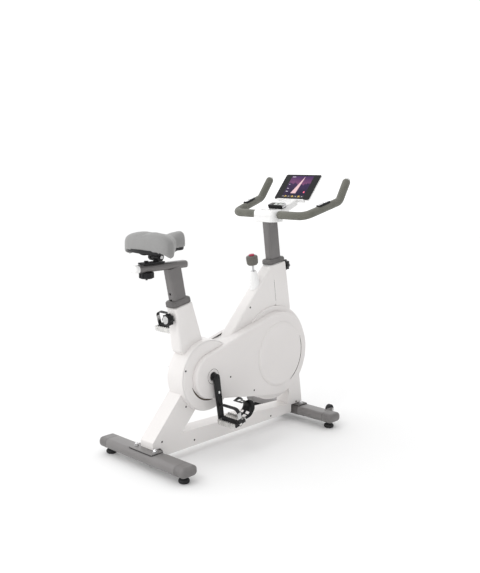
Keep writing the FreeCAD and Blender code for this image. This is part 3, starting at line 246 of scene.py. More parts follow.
def grained_plastic(name, colour, roughness=0.45, grain_scale=1500.0, depth=0.05, shine=0.5):
    """Moulded plastic with a spark-eroded grain."""
    made = Finish(name, IOR=1.48, Specular_IOR_Level=shine)
    pits = made.cells(grain_scale, "SMOOTH_F1")
    drift = made.grain(14.0, 3.0)
    return made.set(
        Base_Color=made.blend(made.spread(drift, 0.3, 0.7, 0, 1), shade(colour, 0.8),
                              shade(colour, 1.25)),
        Roughness=made.spread(pits, 0.0, 0.7, roughness - 0.06, roughness + 0.1),
        Normal=made.bump(pits, depth, 0.5))


def plated_metal(name, colour, roughness=0.16, brushed=None):
    """Bright metal: faint smears, and brush lines where it was ground."""
    made = Finish(name, Metallic=1.0)
    smear = made.grain(60.0, 4.0)
    lines = made.grain(700.0, 2.0, stretch=brushed) if brushed else made.grain(1400.0, 1.0)
    return made.set(
        Base_Color=made.blend(made.spread(smear, 0.35, 0.65, 0, 1), shade(colour, 0.86), colour),
        Roughness=made.spread(smear, 0.3, 0.7, roughness * 0.7, roughness * 1.5),
        Normal=made.bump(lines, 0.02, 0.4 if brushed else 0.15))


def cast_metal(name, colour, roughness=0.4):
    """As-cast metal with a sandy skin."""
    made = Finish(name, Metallic=0.9)
    sand = made.grain(1100.0, 4.0, 0.7)
    drift = made.grain(40.0, 3.0)
    return made.set(
        Base_Color=made.blend(made.spread(drift, 0.3, 0.7, 0, 1), shade(colour, 0.72), colour),
        Roughness=made.spread(sand, 0.2, 0.8, roughness - 0.1, roughness + 0.15),
        Normal=made.bump(sand, 0.08, 0.6))


def foam_finish():
    """Closed-cell grip foam: tiny cells whose pores are darkened as painted shade, dull, a little
    paler where it is rubbed.
    """
    made = Finish("grip_foam", Sheen_Weight=0.25, Sheen_Roughness=0.5, Specular_IOR_Level=0.3)
    cells = made.cells(1400.0)
    drift = made.grain(22.0, 4.0)
    pores_and_painted_shade = made.spread(cells, 0.0, 0.6, 0.0, 1.0)
    skin = made.blend(made.spread(drift, 0.3, 0.7, 0, 1), (0.125, 0.125, 0.105),
                      (0.165, 0.163, 0.14))
    return made.set(
        # painted shade: the pores are darkened towards (0.07, 0.07, 0.06)
        Base_Color=made.blend(made.spread(pores_and_painted_shade, 0.0, 0.5, 0.35, 0.0), skin, (0.07, 0.07, 0.06)),
        Roughness=made.spread(drift, 0.3, 0.7, 0.72, 0.88),
        Normal=made.bump(pores_and_painted_shade * 0.6 + made.grain(260.0, 3.0) * 0.8, 0.12, 0.6))


def saddle_leather():
    """Matt imitation leather: pebbled grain, soft colour drift, and creases darkened as painted
    shade.
    """
    made = Finish("saddle_leather", Sheen_Weight=0.12, Sheen_Roughness=0.4, Specular_IOR_Level=0.4)
    pebble = made.cells(620.0, "SMOOTH_F1")
    fine = made.cells(1900.0)
    drift = made.grain(11.0, 5.0)
    crease_and_painted_shade = made.spread(pebble, 0.25, 0.75, 0.0, 1.0)
    base = made.blend(made.spread(drift, 0.3, 0.7, 0, 1), (0.255, 0.253, 0.25),
                      (0.315, 0.313, 0.31))
    return made.set(
        # painted shade: the creases between the pebbles are darkened towards (0.19, 0.188, 0.186)
        Base_Color=made.blend(crease_and_painted_shade * 0.35, base, (0.19, 0.188, 0.186)),
        Roughness=made.spread(drift, 0.3, 0.7, 0.5, 0.62),
        Normal=made.bump((1 - crease_and_painted_shade) * 1.0 + fine * 0.3, 0.09, 0.5))


def moulded_rubber(name, colour=(0.018, 0.018, 0.019)):
    """Black rubber with a dusty bloom."""
    made = Finish(name, Specular_IOR_Level=0.35)
    bloom = made.grain(45.0, 5.0)
    skin = made.grain(1600.0, 2.0)
    return made.set(
        Base_Color=made.blend(made.spread(bloom, 0.45, 0.75, 0.0, 0.5), colour,
                              shade(colour, 2.6)),
        Roughness=made.spread(bloom, 0.3, 0.7, 0.55, 0.75), Normal=made.bump(skin, 0.05, 0.4))


def gloss_black(name, roughness=0.12, tint=(0.004, 0.004, 0.005)):
    """Glass or polished black plastic, with faint finger smears in the gloss."""
    made = Finish(name, IOR=1.45, Specular_IOR_Level=0.22)
    smear = made.grain(30.0, 5.0)
    return made.set(
        Base_Color=made.blend(made.spread(smear, 0.4, 0.7, 0, 1), tint, shade(tint, 1.6)),
        Roughness=made.spread(smear, 0.35, 0.7, roughness * 0.6, roughness * 1.8),
        Normal=made.bump(made.grain(500.0, 1.0), 0.004, 0.2))


def dark_gap(name="shadow_gap", colour=(0.03, 0.026, 0.022)):
    """A dark, faintly mottled colour: painted shade for the unlit inside of a slot or hole, and
    also the colour of dark joints, print and the screen's bar.
    """
    made = Finish(name, Specular_IOR_Level=0.2)
    dust = made.grain(300.0, 3.0)
    return made.set(Base_Color=made.blend(dust, colour, shade(colour, 1.8)),
                    Roughness=made.spread(dust, 0.3, 0.7, 0.8, 0.95))


def screen_picture():
    """A generic ride picture: dusk sky, hills, a pale road that runs to the horizon."""
    made = Finish("screen_picture", IOR=1.45, Roughness=0.15, Specular_IOR_Level=0.15)
    uv = made.node("ShaderNodeTexCoord", output="UV")
    axes = made.tree.nodes.new("ShaderNodeSeparateXYZ")
    made.tree.links.new(uv.socket, axes.inputs[0])
    u, v = Output(made, axes.outputs[0]), Output(made, axes.outputs[1])
    hills = made.node("ShaderNodeTexNoise", {"noise_dimensions": "1D"},
                      {"W": u, "Scale": 5.0, "Detail": 4.0})
    sky = made.node("ShaderNodeValToRGB", {"stops": [
        (0.0, (0.10, 0.03, 0.08)), (0.5, (0.13, 0.04, 0.10)), (1.0, (0.03, 0.012, 0.06))]},
        {0: v})
    ground = made.node("ShaderNodeValToRGB", {"stops": [
        (0.0, (0.008, 0.004, 0.022)), (1.0, (0.022, 0.010, 0.05))]}, {0: v})
    horizon = hills * 0.5 + 0.34
    below = made.spread(horizon - v, -0.02, 0.02, 0.0, 1.0)
    picture = made.blend(below, sky, ground)
    middle = u - 0.52 - (v - 0.5) * 0.22
    side = made.node("ShaderNodeMath", {"operation": "ABSOLUTE"}, {0: middle})
    reach = made.spread(v, 0.12, 0.93, 0.12, 0.015)
    road = made.spread(reach - side, 0.0, 0.012, 0.0, 1.0)
    inside = (v < 0.95) * (v > 0.1)
    picture = made.blend(road * inside * 0.85, picture, (0.62, 0.42, 0.44))
    glare = made.grain(14.0, 3.0)
    picture = made.blend(made.spread(glare, 0.45, 0.8, 0.0, 0.12), picture, (0.22, 0.10, 0.18))
    made.shader.inputs["Emission Strength"].default_value = 0.6
    return made.set(Base_Color=picture, Emission_Color=picture)


def lit_mark(name, colour, strength=0.8):
    """A lit mark on a display, a little uneven."""
    made = Finish(name, Roughness=0.3)
    uneven = made.grain(400.0, 2.0)
    glow = made.blend(uneven, shade(colour, 0.75), colour)
    made.shader.inputs["Emission Strength"].default_value = strength
    return made.set(Base_Color=glow, Emission_Color=glow)


WHITE = (0.80, 0.775, 0.762)
FINISHES = {
    "body": gloss_moulding("body_gloss_white", WHITE),
    "cover": gloss_moulding("cover_gloss_white", (0.77, 0.742, 0.73), 0.34),
    "trim": gloss_moulding("trim_gloss_white", (0.88, 0.878, 0.872), 0.26),
    "steel_white": powder_coat("frame_white_paint", (0.80, 0.80, 0.79)),
    "post": powder_coat("post_grey_paint", (0.168, 0.160, 0.158), 0.34, 0.3),
    "foot": powder_coat("foot_tube_grey_paint", (0.195, 0.186, 0.184), 0.36, 0.15),
    "collar": grained_plastic("collar_grey_plastic", (0.118, 0.112, 0.110), 0.4, 1300.0, 0.03),
    "cap": grained_plastic("cap_grey_plastic", (0.175, 0.167, 0.165), 0.36, 1300.0, 0.03),
    "saddle_sleeve": grained_plastic("sleeve_dark_grey_plastic", (0.105, 0.098, 0.096), 0.42),
    "knob": grained_plastic("knob_black_plastic", (0.008, 0.008, 0.009), 0.34, shine=0.3),
    "black": grained_plastic("black_grained_plastic", (0.011, 0.011, 0.012), 0.45, 1100.0, 0.07,
                             0.3),
    "cage": grained_plastic("cage_black_nylon", (0.006, 0.006, 0.007), 0.28, 900.0, 0.03, 0.28),
    "crank": grained_plastic("crank_black_enamel", (0.007, 0.007, 0.008), 0.26, 700.0, 0.01, 0.32),
    "foam": foam_finish(),
    "leather": saddle_leather(),
    "chrome": plated_metal("polished_chrome", (0.82, 0.82, 0.83), 0.09),
    "plated": plated_metal("zinc_plated_steel", (0.62, 0.62, 0.62), 0.26),
    "brushed": plated_metal("brushed_steel", (0.58, 0.58, 0.59), 0.3, (1, 14, 1)),
    "alloy": cast_metal("pedal_cast_alloy", (0.80, 0.79, 0.77), 0.24),
    "iron": cast_metal("flywheel_cast_iron", (0.17, 0.17, 0.175), 0.42),
    "rubber": moulded_rubber("moulded_rubber"),
    "tread": moulded_rubber("wheel_tread_rubber", (0.025, 0.025, 0.026)),
    "brake": grained_plastic("brake_knob_plastic", (0.105, 0.1, 0.088), 0.4, 1300.0, 0.03),
    "red": gloss_moulding("brake_cap_red", (0.44, 0.03, 0.075), 0.3),
    "glass": gloss_black("tablet_glass", 0.1),
    "meter": gloss_black("meter_gloss_black", 0.16, (0.008, 0.008, 0.009)),
    "gap": dark_gap(),
    # painted shade: dark brown for the inside of the crescent slot below the crank disc and the
    # slit beside the wheel disc
    "slot": dark_gap("slot_brown", (0.075, 0.058, 0.046)),
    "screen": screen_picture(),
    "bar": dark_gap("screen_bar", (0.05, 0.045, 0.05)),
    "yellow": lit_mark("digit_yellow", (0.85, 0.55, 0.06)),
    "pink": lit_mark("button_pink", (0.85, 0.12, 0.2)),
    "pale": lit_mark("mark_pale", (0.75, 0.72, 0.78), 0.5),
    "liquid": gloss_moulding("meter_liquid_crystal", (0.52, 0.55, 0.52), 0.2),
}


# ---------------------------------------------------------------- meshes

def new_mesh(name, points, faces, finish=None):
    """A piece from points in millimetres, its doubles merged and its faces turned outwards."""
    mesh = bpy.data.meshes.new(name)
    mesh.from_pydata([Vector(point) * MM for point in points], [], faces)
    piece = bpy.data.objects.new(name, mesh)
    bpy.context.scene.collection.objects.link(piece)
    tidy_mesh(piece)
    if finish:
        paint(piece, finish)
    return piece


def tidy_mesh(piece, merge=0.0000005):
    work = bmesh.new()
    work.from_mesh(piece.data)
    bmesh.ops.remove_doubles(work, verts=work.verts, dist=merge)
    bmesh.ops.dissolve_degenerate(work, edges=work.edges, dist=merge)
    bmesh.ops.recalc_face_normals(work, faces=work.faces)
    work.to_mesh(piece.data)
    work.free()


def soften(piece, angle=32):
    """Smooth shading, with creases where faces meet at more than an angle."""
    piece.data.shade_smooth()
    piece.data.set_sharp_from_angle(angle=math.radians(angle))
    return piece


def paint(piece, finish):
    piece.data.materials.clear()
    piece.data.materials.append(FINISHES[finish])
    return piece


def settle(piece):
    """Apply the piece's modifiers, so that only its mesh is left."""
    bpy.context.view_layer.update()
    ready = piece.evaluated_get(bpy.context.evaluated_depsgraph_get())
    mesh = bpy.data.meshes.new_from_object(ready)
    piece.modifiers.clear()
    old = piece.data
    piece.data = mesh
    if old.users == 0:
        bpy.data.meshes.remove(old)
    return piece


def drop(piece):
    bpy.data.objects.remove(piece)


def combine(piece, others, operation):
    """Boolean with other pieces, which are used up."""
    for other in others:
        step = piece.modifiers.new(operation, "BOOLEAN")
        step.operation = operation
        step.solver = "MANIFOLD"
        step.material_mode = "TRANSFER"
        step.object = other
    settle(piece)
    for other in others:
        drop(other)
    return piece


def join(name, pieces):
    """Several pieces as one, each keeping its own finishes."""
    mesh = bpy.data.meshes.new(name)
    work = bmesh.new()
    finishes = []
    for piece in pieces:
        start = len(work.faces)
        work.from_mesh(piece.data)
        work.faces.ensure_lookup_table()
        for face in work.faces[start:]:
            used = piece.data.materials[face.material_index] if piece.data.materials else None
            if used not in finishes:
                finishes.append(used)
            face.material_index = finishes.index(used)
    work.to_mesh(mesh)
    work.free()
    for finish in finishes:
        mesh.materials.append(finish)
    joined = bpy.data.objects.new(name, mesh)
    bpy.context.scene.collection.objects.link(joined)
    for piece in pieces:
        drop(piece)
    return joined


def loft(name, loops, finish=None, closed=True, caps=True):
    """Skin over loops of equally many points, its ends closed."""
    count = len(loops[0])
    points = [point for loop in loops for point in loop]
    faces = []
    last = count if closed else count - 1
    for row in range(len(loops) - 1):
        for step in range(last):
            a = row * count + step
            b = row * count + (step + 1) % count
            faces.append((a, b, b + count, a + count))
    if caps:
        faces.append(tuple(range(count)))
        faces.append(tuple(range(len(points) - count, len(points))))
    return new_mesh(name, points, faces, finish)


def turn_to(axis):
    """The rotation that takes +Z to an axis."""
    return ALONG_Z.rotation_difference(Vector(axis)).to_matrix()


def lathe(name, profile, centre, axis, finish=None, segments=64):
    """A turned piece: (radius, distance along the axis) pairs revolved about the axis."""
    turn = turn_to(axis)
    centre = Vector(centre)
    loops = []
    for radius, along in profile:
        loops.append([centre + turn @ Vector((max(radius, 0.001) * math.cos(step), max(
            radius, 0.001) * math.sin(step), along)) for step in full_circle(segments)])
    shut = profile[0] == profile[-1]
    return loft(name, loops, finish, caps=not shut)


def full_circle(count):
    return [2 * math.pi * step / count for step in range(count)]


def round_rect(wide, deep, radius, steps=6):
    """A rounded rectangle about the origin, in two coordinates."""
    points = []
    corners = ((1, 1, 0), (-1, 1, 90), (-1, -1, 180), (1, -1, 270))
    for right, up, start in corners:
        for step in range(steps + 1):
            angle = math.radians(start + 90 * step / steps)
            points.append((right * (wide / 2 - radius) + radius * math.cos(angle),
                           up * (deep / 2 - radius) + radius * math.sin(angle)))
    return points


def slab(name, wide, deep, levels, centre, turn, finish=None, corner=10):
    """A rounded block: levels are (distance up, inset), stacked along the turned +Z."""
    loops = []
    for up, inset in levels:
        radius = max(corner - inset, 0.6)
        loop = round_rect(wide - 2 * inset, deep - 2 * inset, radius)
        loops.append([Vector(centre) + turn @ Vector((a, b, up)) for a, b in loop])
    return loft(name, loops, finish)


def rim_levels(low, high, radius, steps=4, both=True):
    """Heights and insets that round a block's rims."""
    top = [(high - radius * (1 - math.sin(math.pi / 2 * step / steps)),
            radius * (1 - math.cos(math.pi / 2 * step / steps))) for step in range(steps + 1)]
    if not both:
        return [(low, 0)] + top
    bottom = [(low + high - up, inset) for up, inset in reversed(top)]
    return bottom + top


def lean(axis):
    """The rotation of a part that stands along a leaning axis, its width along Y."""
    up = Vector(axis).normalized()
    across = ALONG_Y.copy()
    fore = across.cross(up).normalized()
    return Matrix((fore, across, up)).transposed()


def prism(name, outline, low, high, rim=0.0, steps=4, finish=None):
    """A side-view outline (x, z) drawn out in Y, with the edges of its far face rounded."""
    count = len(outline)
    points = [(x, low, z) for x, z in outline] + [(x, high, z) for x, z in outline]
    faces = [tuple(range(count)), tuple(range(count, 2 * count))]
    for step in range(count):
        after = (step + 1) % count
        faces.append((step, after, after + count, step + count))
    piece = new_mesh(name, points, faces, finish)
    if rim:
        round_face_edges(piece, high, rim, steps)
    return piece


def near_line(spot, line):
    """Whether a point in the side view lies on a parting line."""
    (x1, z1), (x2, z2) = line
    long = math.hypot(x2 - x1, z2 - z1)
    off = ((spot.x / MM - x1) * (z2 - z1) - (spot.z / MM - z1) * (x2 - x1)) / long
    return abs(off) < 4


def round_face_edges(piece, level, rim, steps=4, sharp=None):
    """Round the outer edges of the flat face at one distance from the middle."""
    work = bmesh.new()
    work.from_mesh(piece.data)
    bmesh.ops.dissolve_limit(work, angle_limit=math.radians(0.5), verts=work.verts,
                             edges=work.edges)
    level *= MM
    chosen = []
    for edge in work.edges:
        if len(edge.link_faces) != 2 or edge.calc_face_angle(0) < math.radians(25):
            continue
        if sharp and all(near_line(vertex.co, sharp) for vertex in edge.verts):
            continue
        if any(abs(vertex.co.y - level) < 1e-6 for vertex in edge.verts):
            chosen.append(edge)
    bmesh.ops.bevel(work, geom=chosen, offset=rim * MM, segments=steps, profile=0.5,
                    affect="EDGES", clamp_overlap=True)
    bmesh.ops.recalc_face_normals(work, faces=work.faces)
    work.to_mesh(piece.data)
    work.free()


def inset_outline(outline, by):
    """A side-view outline moved inwards by a wall's thickness."""
    area = sum(a[0] * b[1] - b[0] * a[1] for a, b in zip(outline, outline[1:] + outline[:1]))
    sign = 1 if area > 0 else -1
    lines = []
    for (x1, z1), (x2, z2) in zip(outline, outline[1:] + outline[:1]):
        long = math.hypot(x2 - x1, z2 - z1)
        nx, nz = -sign * (z2 - z1) / long, sign * (x2 - x1) / long
        lines.append((nx, nz, nx * x1 + nz * z1 + by))
    made = []
    for (a, b, c), (d, e, f) in zip(lines[-1:] + lines[:-1], lines):
        det = a * e - b * d
        made.append(((c * e - b * f) / det, (a * f - c * d) / det))
    return made


def disc(name, spot, radius, low, high, rim=0.0, finish=None, segments=128):
    """A round block whose axis runs along Y, the rim of its far face rounded."""
    away = 1 if high > low else -1
    tall = abs(high - low)
    profile = [(radius, 0)] + [(radius - inset, up) for up, inset in
                               rim_levels(0, tall, rim, 6, False)[1:]] if rim else [
                                   (radius, 0), (radius, tall)]
    return lathe(name, profile, (spot.x, low, spot.z), ALONG_Y * away, finish, segments)


def tangent_outline(grow=0.0, rear=90.0, wheel=180.0, arc=48):
    """The belt cover's side view: two circles and the lines that touch both."""
    r1, r2 = rear + grow, wheel + grow
    along = math.atan2(WHEEL.z - CRANK.z, WHEEL.x - CRANK.x)
    side = math.acos((r1 - r2) / (WHEEL - CRANK).length)
    points = []
    spans = ((WHEEL, r2, along - side, along + side), (CRANK, r1, along + side,
                                                       along - side + 2 * math.pi))
    for spot, radius, start, end in spans:
        for step in range(arc + 1):
            angle = start + (end - start) * step / arc
            points.append((spot.x + radius * math.cos(angle), spot.z + radius * math.sin(angle)))
    return points


# ---------------------------------------------------------------- geometry-node trees

class Maker(Graph):
    """A geometry-node tree with named sizes, which ends in real geometry with a finish."""

    def __init__(self, name, sizes):
        super().__init__(bpy.data.node_groups.new(name, "GeometryNodeTree"))
        face = self.tree.interface
        face.new_socket("Geometry", in_out="INPUT", socket_type="NodeSocketGeometry")
        face.new_socket("Geometry", in_out="OUTPUT", socket_type="NodeSocketGeometry")
        for key, value in sizes.items():
            kind = {int: "Int", float: "Float", Vector: "Vector"}[type(value)]
            socket = face.new_socket(key, in_out="INPUT", socket_type="NodeSocket" + kind)
            socket.default_value = value
        self.inlet = self.tree.nodes.new("NodeGroupInput")

    def given(self, key):
        return Output(self, self.inlet.outputs[key])

    def close(self, geometry, finish):
        real = self.node("GeometryNodeRealizeInstances", None, {0: geometry})
        painted = self.node("GeometryNodeSetMaterial", None, {
            "Geometry": real, "Material": FINISHES[finish]})
        outlet = self.tree.nodes.new("NodeGroupOutput")
        self.tree.links.new(painted.socket, outlet.inputs[0])
        return self.tree

    def grow(self, name, base=None, **sizes):
        """A piece that this tree makes from a base mesh, as a plain mesh."""
        mesh = base or bpy.data.meshes.new(name)
        piece = bpy.data.objects.new(name, mesh)
        bpy.context.scene.collection.objects.link(piece)
        step = piece.modifiers.new(name, "NODES")
        step.node_group = self.tree
        for item in self.tree.interface.items_tree:
            if item.in_out == "INPUT" and item.name in sizes:
                step[item.identifier] = sizes[item.name]
        settle(piece)
        tidy_mesh(piece)
        return soften(piece)


def points_mesh(name, places):
    """A mesh of loose points in millimetres, each with the direction that it faces."""
    mesh = bpy.data.meshes.new(name)
    mesh.from_pydata([Vector(spot) * MM for spot, _ in places], [], [])
    facing = mesh.attributes.new("facing", "FLOAT_VECTOR", "POINT")
    for row, (_, way) in zip(facing.data, places):
        row.vector = Vector(way)
    return mesh


def fastener_maker(name, finish, recess_shade_finish):
    """Dome heads with a cross recess drawn as two dark bars of painted shade, one on each point,
    turned to face outwards.
    """
    make = Maker(name, {"head": 0.004, "height": 0.0012, "slot": 0.0009})
    head, height, slot = make.given("head"), make.given("height"), make.given("slot")
    dome = make.node("GeometryNodeMeshUVSphere", None, {
        "Segments": 24, "Rings": 12, "Radius": head})
    flat = make.node("ShaderNodeCombineXYZ", None, {0: 1.0, 1: 1.0, 2: height / head})
    dome = make.node("GeometryNodeTransform", None, {"Geometry": dome, "Scale": flat})
    dome = make.node("GeometryNodeSetMaterial", None, {
        "Geometry": dome, "Material": FINISHES[finish]})
    bars = []
    for turn in (0.0, math.pi / 2):
        size = make.node("ShaderNodeCombineXYZ", None, {0: head * 1.15, 1: slot, 2: height * 0.5})
        lift = make.node("ShaderNodeCombineXYZ", None, {0: 0.0, 1: 0.0, 2: height * 0.78})
        bar = make.node("GeometryNodeMeshCube", None, {"Size": size})
        bars.append(make.node("GeometryNodeTransform", None, {
            "Geometry": bar, "Translation": lift, "Rotation": (0.0, 0.0, turn)}))
    whole = make.tree.nodes.new("GeometryNodeJoinGeometry")
    for bar in bars:
        # painted shade: the cross recess is drawn as dark bars
        dark = make.node("GeometryNodeSetMaterial", None, {
            "Geometry": bar, "Material": FINISHES[recess_shade_finish]})
        make.tree.links.new(dark.socket, whole.inputs[0])
    make.tree.links.new(dome.socket, whole.inputs[0])
    way = make.node("GeometryNodeInputNamedAttribute", {"data_type": "FLOAT_VECTOR"},
                    {"Name": "facing"})
    turn = make.node("FunctionNodeAlignRotationToVector", {"axis": "Z"}, {"Vector": way})
    spread = make.node("GeometryNodeInstanceOnPoints", None, {
        "Points": make.given("Geometry"), "Instance": Output(make, whole.outputs[0]),
        "Rotation": turn})
    real = make.node("GeometryNodeRealizeInstances", None, {0: spread})
    outlet = make.tree.nodes.new("NodeGroupOutput")
    make.tree.links.new(real.socket, outlet.inputs[0])
    return make


def rib_ring_maker(name, finish):
    """Rounded ribs in a ring about Z, as on a knob's edge or a tyre's tread."""
    make = Maker(name, {"count": 8, "radius": 0.024, "rib": 0.003, "height": 0.02, "lift": 0.0})
    ring = make.node("GeometryNodeCurvePrimitiveCircle", None, {
        "Resolution": make.given("count"), "Radius": make.given("radius")})
    spots = make.node("GeometryNodeCurveToPoints", {"mode": "EVALUATED"}, {"Curve": ring})
    rib = make.node("GeometryNodeMeshCylinder", None, {
        "Vertices": 14, "Radius": make.given("rib"), "Depth": make.given("height")}, "Mesh")
    spread = make.node("GeometryNodeInstanceOnPoints", None, {"Points": spots, "Instance": rib})
    rise = make.node("ShaderNodeCombineXYZ", None, {0: 0.0, 1: 0.0, 2: make.given("lift")})
    moved = make.node("GeometryNodeTransform", None, {"Geometry": spread, "Translation": rise})
    make.close(moved, finish)
    return make


def coil_maker(name, finish):
    """A wire coil along Z."""
    make = Maker(name, {"turns": 6.0, "radius": 0.006, "length": 0.03, "wire": 0.0007})
    coil = make.node("GeometryNodeCurveSpiral", None, {
        "Resolution": 24, "Rotations": make.given("turns"), "Start Radius": make.given("radius"),
        "End Radius": make.given("radius"), "Height": make.given("length")})
    section = make.node("GeometryNodeCurvePrimitiveCircle", None, {
        "Resolution": 10, "Radius": make.given("wire")})
    wire = make.node("GeometryNodeCurveToMesh", None, {
        "Curve": coil, "Profile Curve": section, "Fill Caps": True})
    make.close(wire, finish)
    return make


def sweep_maker(name, finish):
    """A round bar swept along the base mesh's edges."""
    make = Maker(name, {"radius": 0.0125, "sides": 28})
    line = make.node("GeometryNodeMeshToCurve", None, {0: make.given("Geometry")})
    section = make.node("GeometryNodeCurvePrimitiveCircle", None, {
        "Resolution": make.given("sides"), "Radius": make.given("radius")})
    bar = make.node("GeometryNodeCurveToMesh", None, {
        "Curve": line, "Profile Curve": section, "Fill Caps": True})
    make.close(bar, finish)
    return make


def put(piece, centre=(0, 0, 0), turn=None):
    """Move a piece's mesh to its place; the object itself stays at the origin."""
    spin = (turn or Matrix.Identity(3)).to_4x4()
    piece.data.transform(Matrix.Translation(Vector(centre) * MM) @ spin)
    return piece


def smooth_path(corners, bend, steps=8):
    """A line through corners, each rounded by an arc that touches both of its runs."""
    spots = [Vector(corner) for corner in corners]
    path = [spots[0]]
    for before, corner, after in zip(spots, spots[1:], spots[2:]):
        arrive = (corner - before).normalized()
        leave = (after - corner).normalized()
        half = arrive.angle(leave) / 2
        reach = bend * math.tan(half)
        start, end = corner - arrive * reach, corner + leave * reach
        centre = corner + (leave - arrive).normalized() * (bend / math.cos(half))
        first, last = start - centre, end - centre
        whole = first.angle(last)
        for step in range(steps + 1):
            share = step / steps
            path.append(centre + (first * math.sin((1 - share) * whole) + last * math.sin(
                share * whole)) / math.sin(whole))
    return path + [spots[-1]]


def line_mesh(name, path):
    mesh = bpy.data.meshes.new(name)
    mesh.from_pydata([point * MM for point in path], [(n, n + 1) for n in range(len(path) - 1)],
                     [])
    return mesh


def fit(piece, body, slot, *nodes):
    """The piece rides on a body and stands for CAD nodes; the slot argument is not used."""
    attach(piece, body)
    if nodes:
        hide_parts(*nodes)
    return piece


# ---------------------------------------------------------------- moulded body

WALL = 3.0
SHELL_HALF = 36.0
NECK_HALF = 28.5
DISC_HALF = 60.0
WHEEL_HOUSING = 203.0
CRANK_HOUSING = 142.0
LEG = [(-447, 72), (-447, 98), (-283, 280), (-218, 230), (-222, 190), (-320, 84), (-330, 40),
       (-372, 36), (-412, 72)]
BEAM = [(-372, 36), (-345, 108), (-301, 106), (119, 92), (345, 78), (349, 72), (349, 38)]
FRONT_LEG = [(332, 60), (332, 210), (400, 215), (421, 72), (349, 72), (349, 60)]
MIDDLE = [(-95, 210), (-125, 420), (-53, 432), (80, 460), (200, 430), (200, 150)]
DIAGONAL = [(-90, 375), (-53, 416), (160, 642), (205, 690), (227, 710), (251, 533), (150, 440)]
SEAT_NECK = [(-317, 596), (-232, 613), (-178, 452), (-190, 400), (-262, 400), (-296, 420)]
HEAD = [(227.3, 710.2), (312, 722), (350, 507), (338, 490), (252, 500), (251.3, 533)]
PARTING = ((227, 710), (251, 533))
HEAD_ROOM = [(200, 770), (304, 770), (346, 506), (335, 460), (200, 460)]
SEAT_LOW = node_middle("seat_collar")
BAR_LOW = node_middle("handlebar_collar")


def way_for_post(name, spot, line, wide, deep):
    # the walls of the cut take the gap finish: painted shade inside the hole
    return slab(name, wide, deep, [(-420, 0), (200, 0)], spot, lean(line), "gap", 12)


def bush_way(name, node, direction):
    low, high = node_box(node)
    spot = (low + high) / 2
    start = Vector((spot.x - direction * 5, 0, spot.z))
    # the walls of the cut take the gap finish: painted shade inside the hole
    return lathe(name, [(13, 0), (13, 60)], start, ALONG_X * -direction, "gap", 32)


def body_ways(side):
    """What passes through a half of the body: both posts, the brake rod, the drive."""
    # the cutters painted with the gap finish leave painted shade on the walls that they cut
    out = [way_for_post("way", SEAT_LOW, SEAT_LINE, 72, 48),
           way_for_post("way", BAR_LOW, BAR_LINE, 72, 46),
           lathe("way", [(8, -140), (8, 120)], node_middle("brake_boss"), BRAKE_LINE, "gap", 24),
           disc("way", CRANK, 24.3, -side * 0.5, side * 34.5, finish="gap"),
           bush_way("way", "seat_lock_spring", -1)]
    out.append(prism("way", tangent_outline(0.4), side * (NECK_HALF + 0.1), side * (DISC_HALF + 2),
                     finish="body"))
    return out


def arc_cutter(name, spot, radii, span, face, depth, finish, taper=0.0):
    """A curved slot about an axis along Y, cut into a face, narrowing at both ends."""
    inner, outer = radii
    start, end = (math.radians(angle) for angle in span)
    steps = 40
    front, back = face(1.5), face(-depth)
    loops = []
    for step in range(steps + 1):
        share = step / steps
        angle = start + (end - start) * share
        ease = min(1.0, math.sqrt(max(math.sin(math.pi * share), 0.02)) * 1.15) if taper else 1.0
        width = (outer - inner) * ease
        near, far = outer - width, outer
        ring = []
        for radius, level in ((near, front), (far, front), (far, back), (near, back)):
            x = spot.x + radius * math.cos(angle)
            ring.append((x, level(x), spot.z + radius * math.sin(angle)))
        loops.append(ring)
    return loft(name, loops, finish)


def flat_face(level, away):
    """Depths measured from a flat face: the point a distance outside it."""
    return lambda out: (lambda x: level + away * out)


def body_half(side_name):
    """One half of the moulded body, with rounded edges, walls and its parting line."""
    side = SIDES[side_name]
    plate = prism("plate", LEG, 0, side * SHELL_HALF)
    rest = [prism("part", outline, 0, side * SHELL_HALF) for outline in (BEAM, FRONT_LEG, MIDDLE)]
    rest.append(disc("part", WHEEL, WHEEL_HOUSING, 0, side * SHELL_HALF))
    combine(plate, rest, "UNION")
    round_face_edges(plate, side * SHELL_HALF, 9.0)
    necks = [prism("neck", outline, 0, side * NECK_HALF) for outline in (DIAGONAL, SEAT_NECK)]
    for neck in necks:
        round_face_edges(neck, side * NECK_HALF, 9.0, sharp=PARTING)
    deep = DISC_HALF if side < 0 else SHELL_HALF + 0.2
    necks.append(disc("deep_disc", CRANK, CRANK_HOUSING, 0, side * deep, 11.0))
    combine(plate, necks, "UNION")
    paint(plate, "body")
    inner = [prism("room", inset_outline(outline, WALL), -side, side * (half - WALL),
                   finish="body")
             for outline, half in ((LEG, SHELL_HALF), (BEAM, SHELL_HALF), (FRONT_LEG, SHELL_HALF),
                                   (MIDDLE, SHELL_HALF), (DIAGONAL, NECK_HALF),
                                   (SEAT_NECK, NECK_HALF))]
    inner.append(disc("room", WHEEL, WHEEL_HOUSING - WALL, -side, side * (SHELL_HALF - WALL),
                      finish="body"))
    inner.append(disc("room", CRANK, CRANK_HOUSING - WALL, -side, side * (deep - WALL),
                      finish="body"))
    if side < 0:
        # the crescent slot below the crank disc, its inside painted dark brown as painted shade
        inner.append(arc_cutter("slot", CRANK, (92.5, 99), (198, 292),
                                flat_face(-DISC_HALF, -1), 2.4, "slot", 1))
    combine(plate, inner + body_ways(side), "DIFFERENCE")
    plate.name = side_name + "_body_shell"
    tidy_mesh(plate)
    soften(plate, 28)
    return fit(plate, "frame", "body_white", side_name + "_shell")


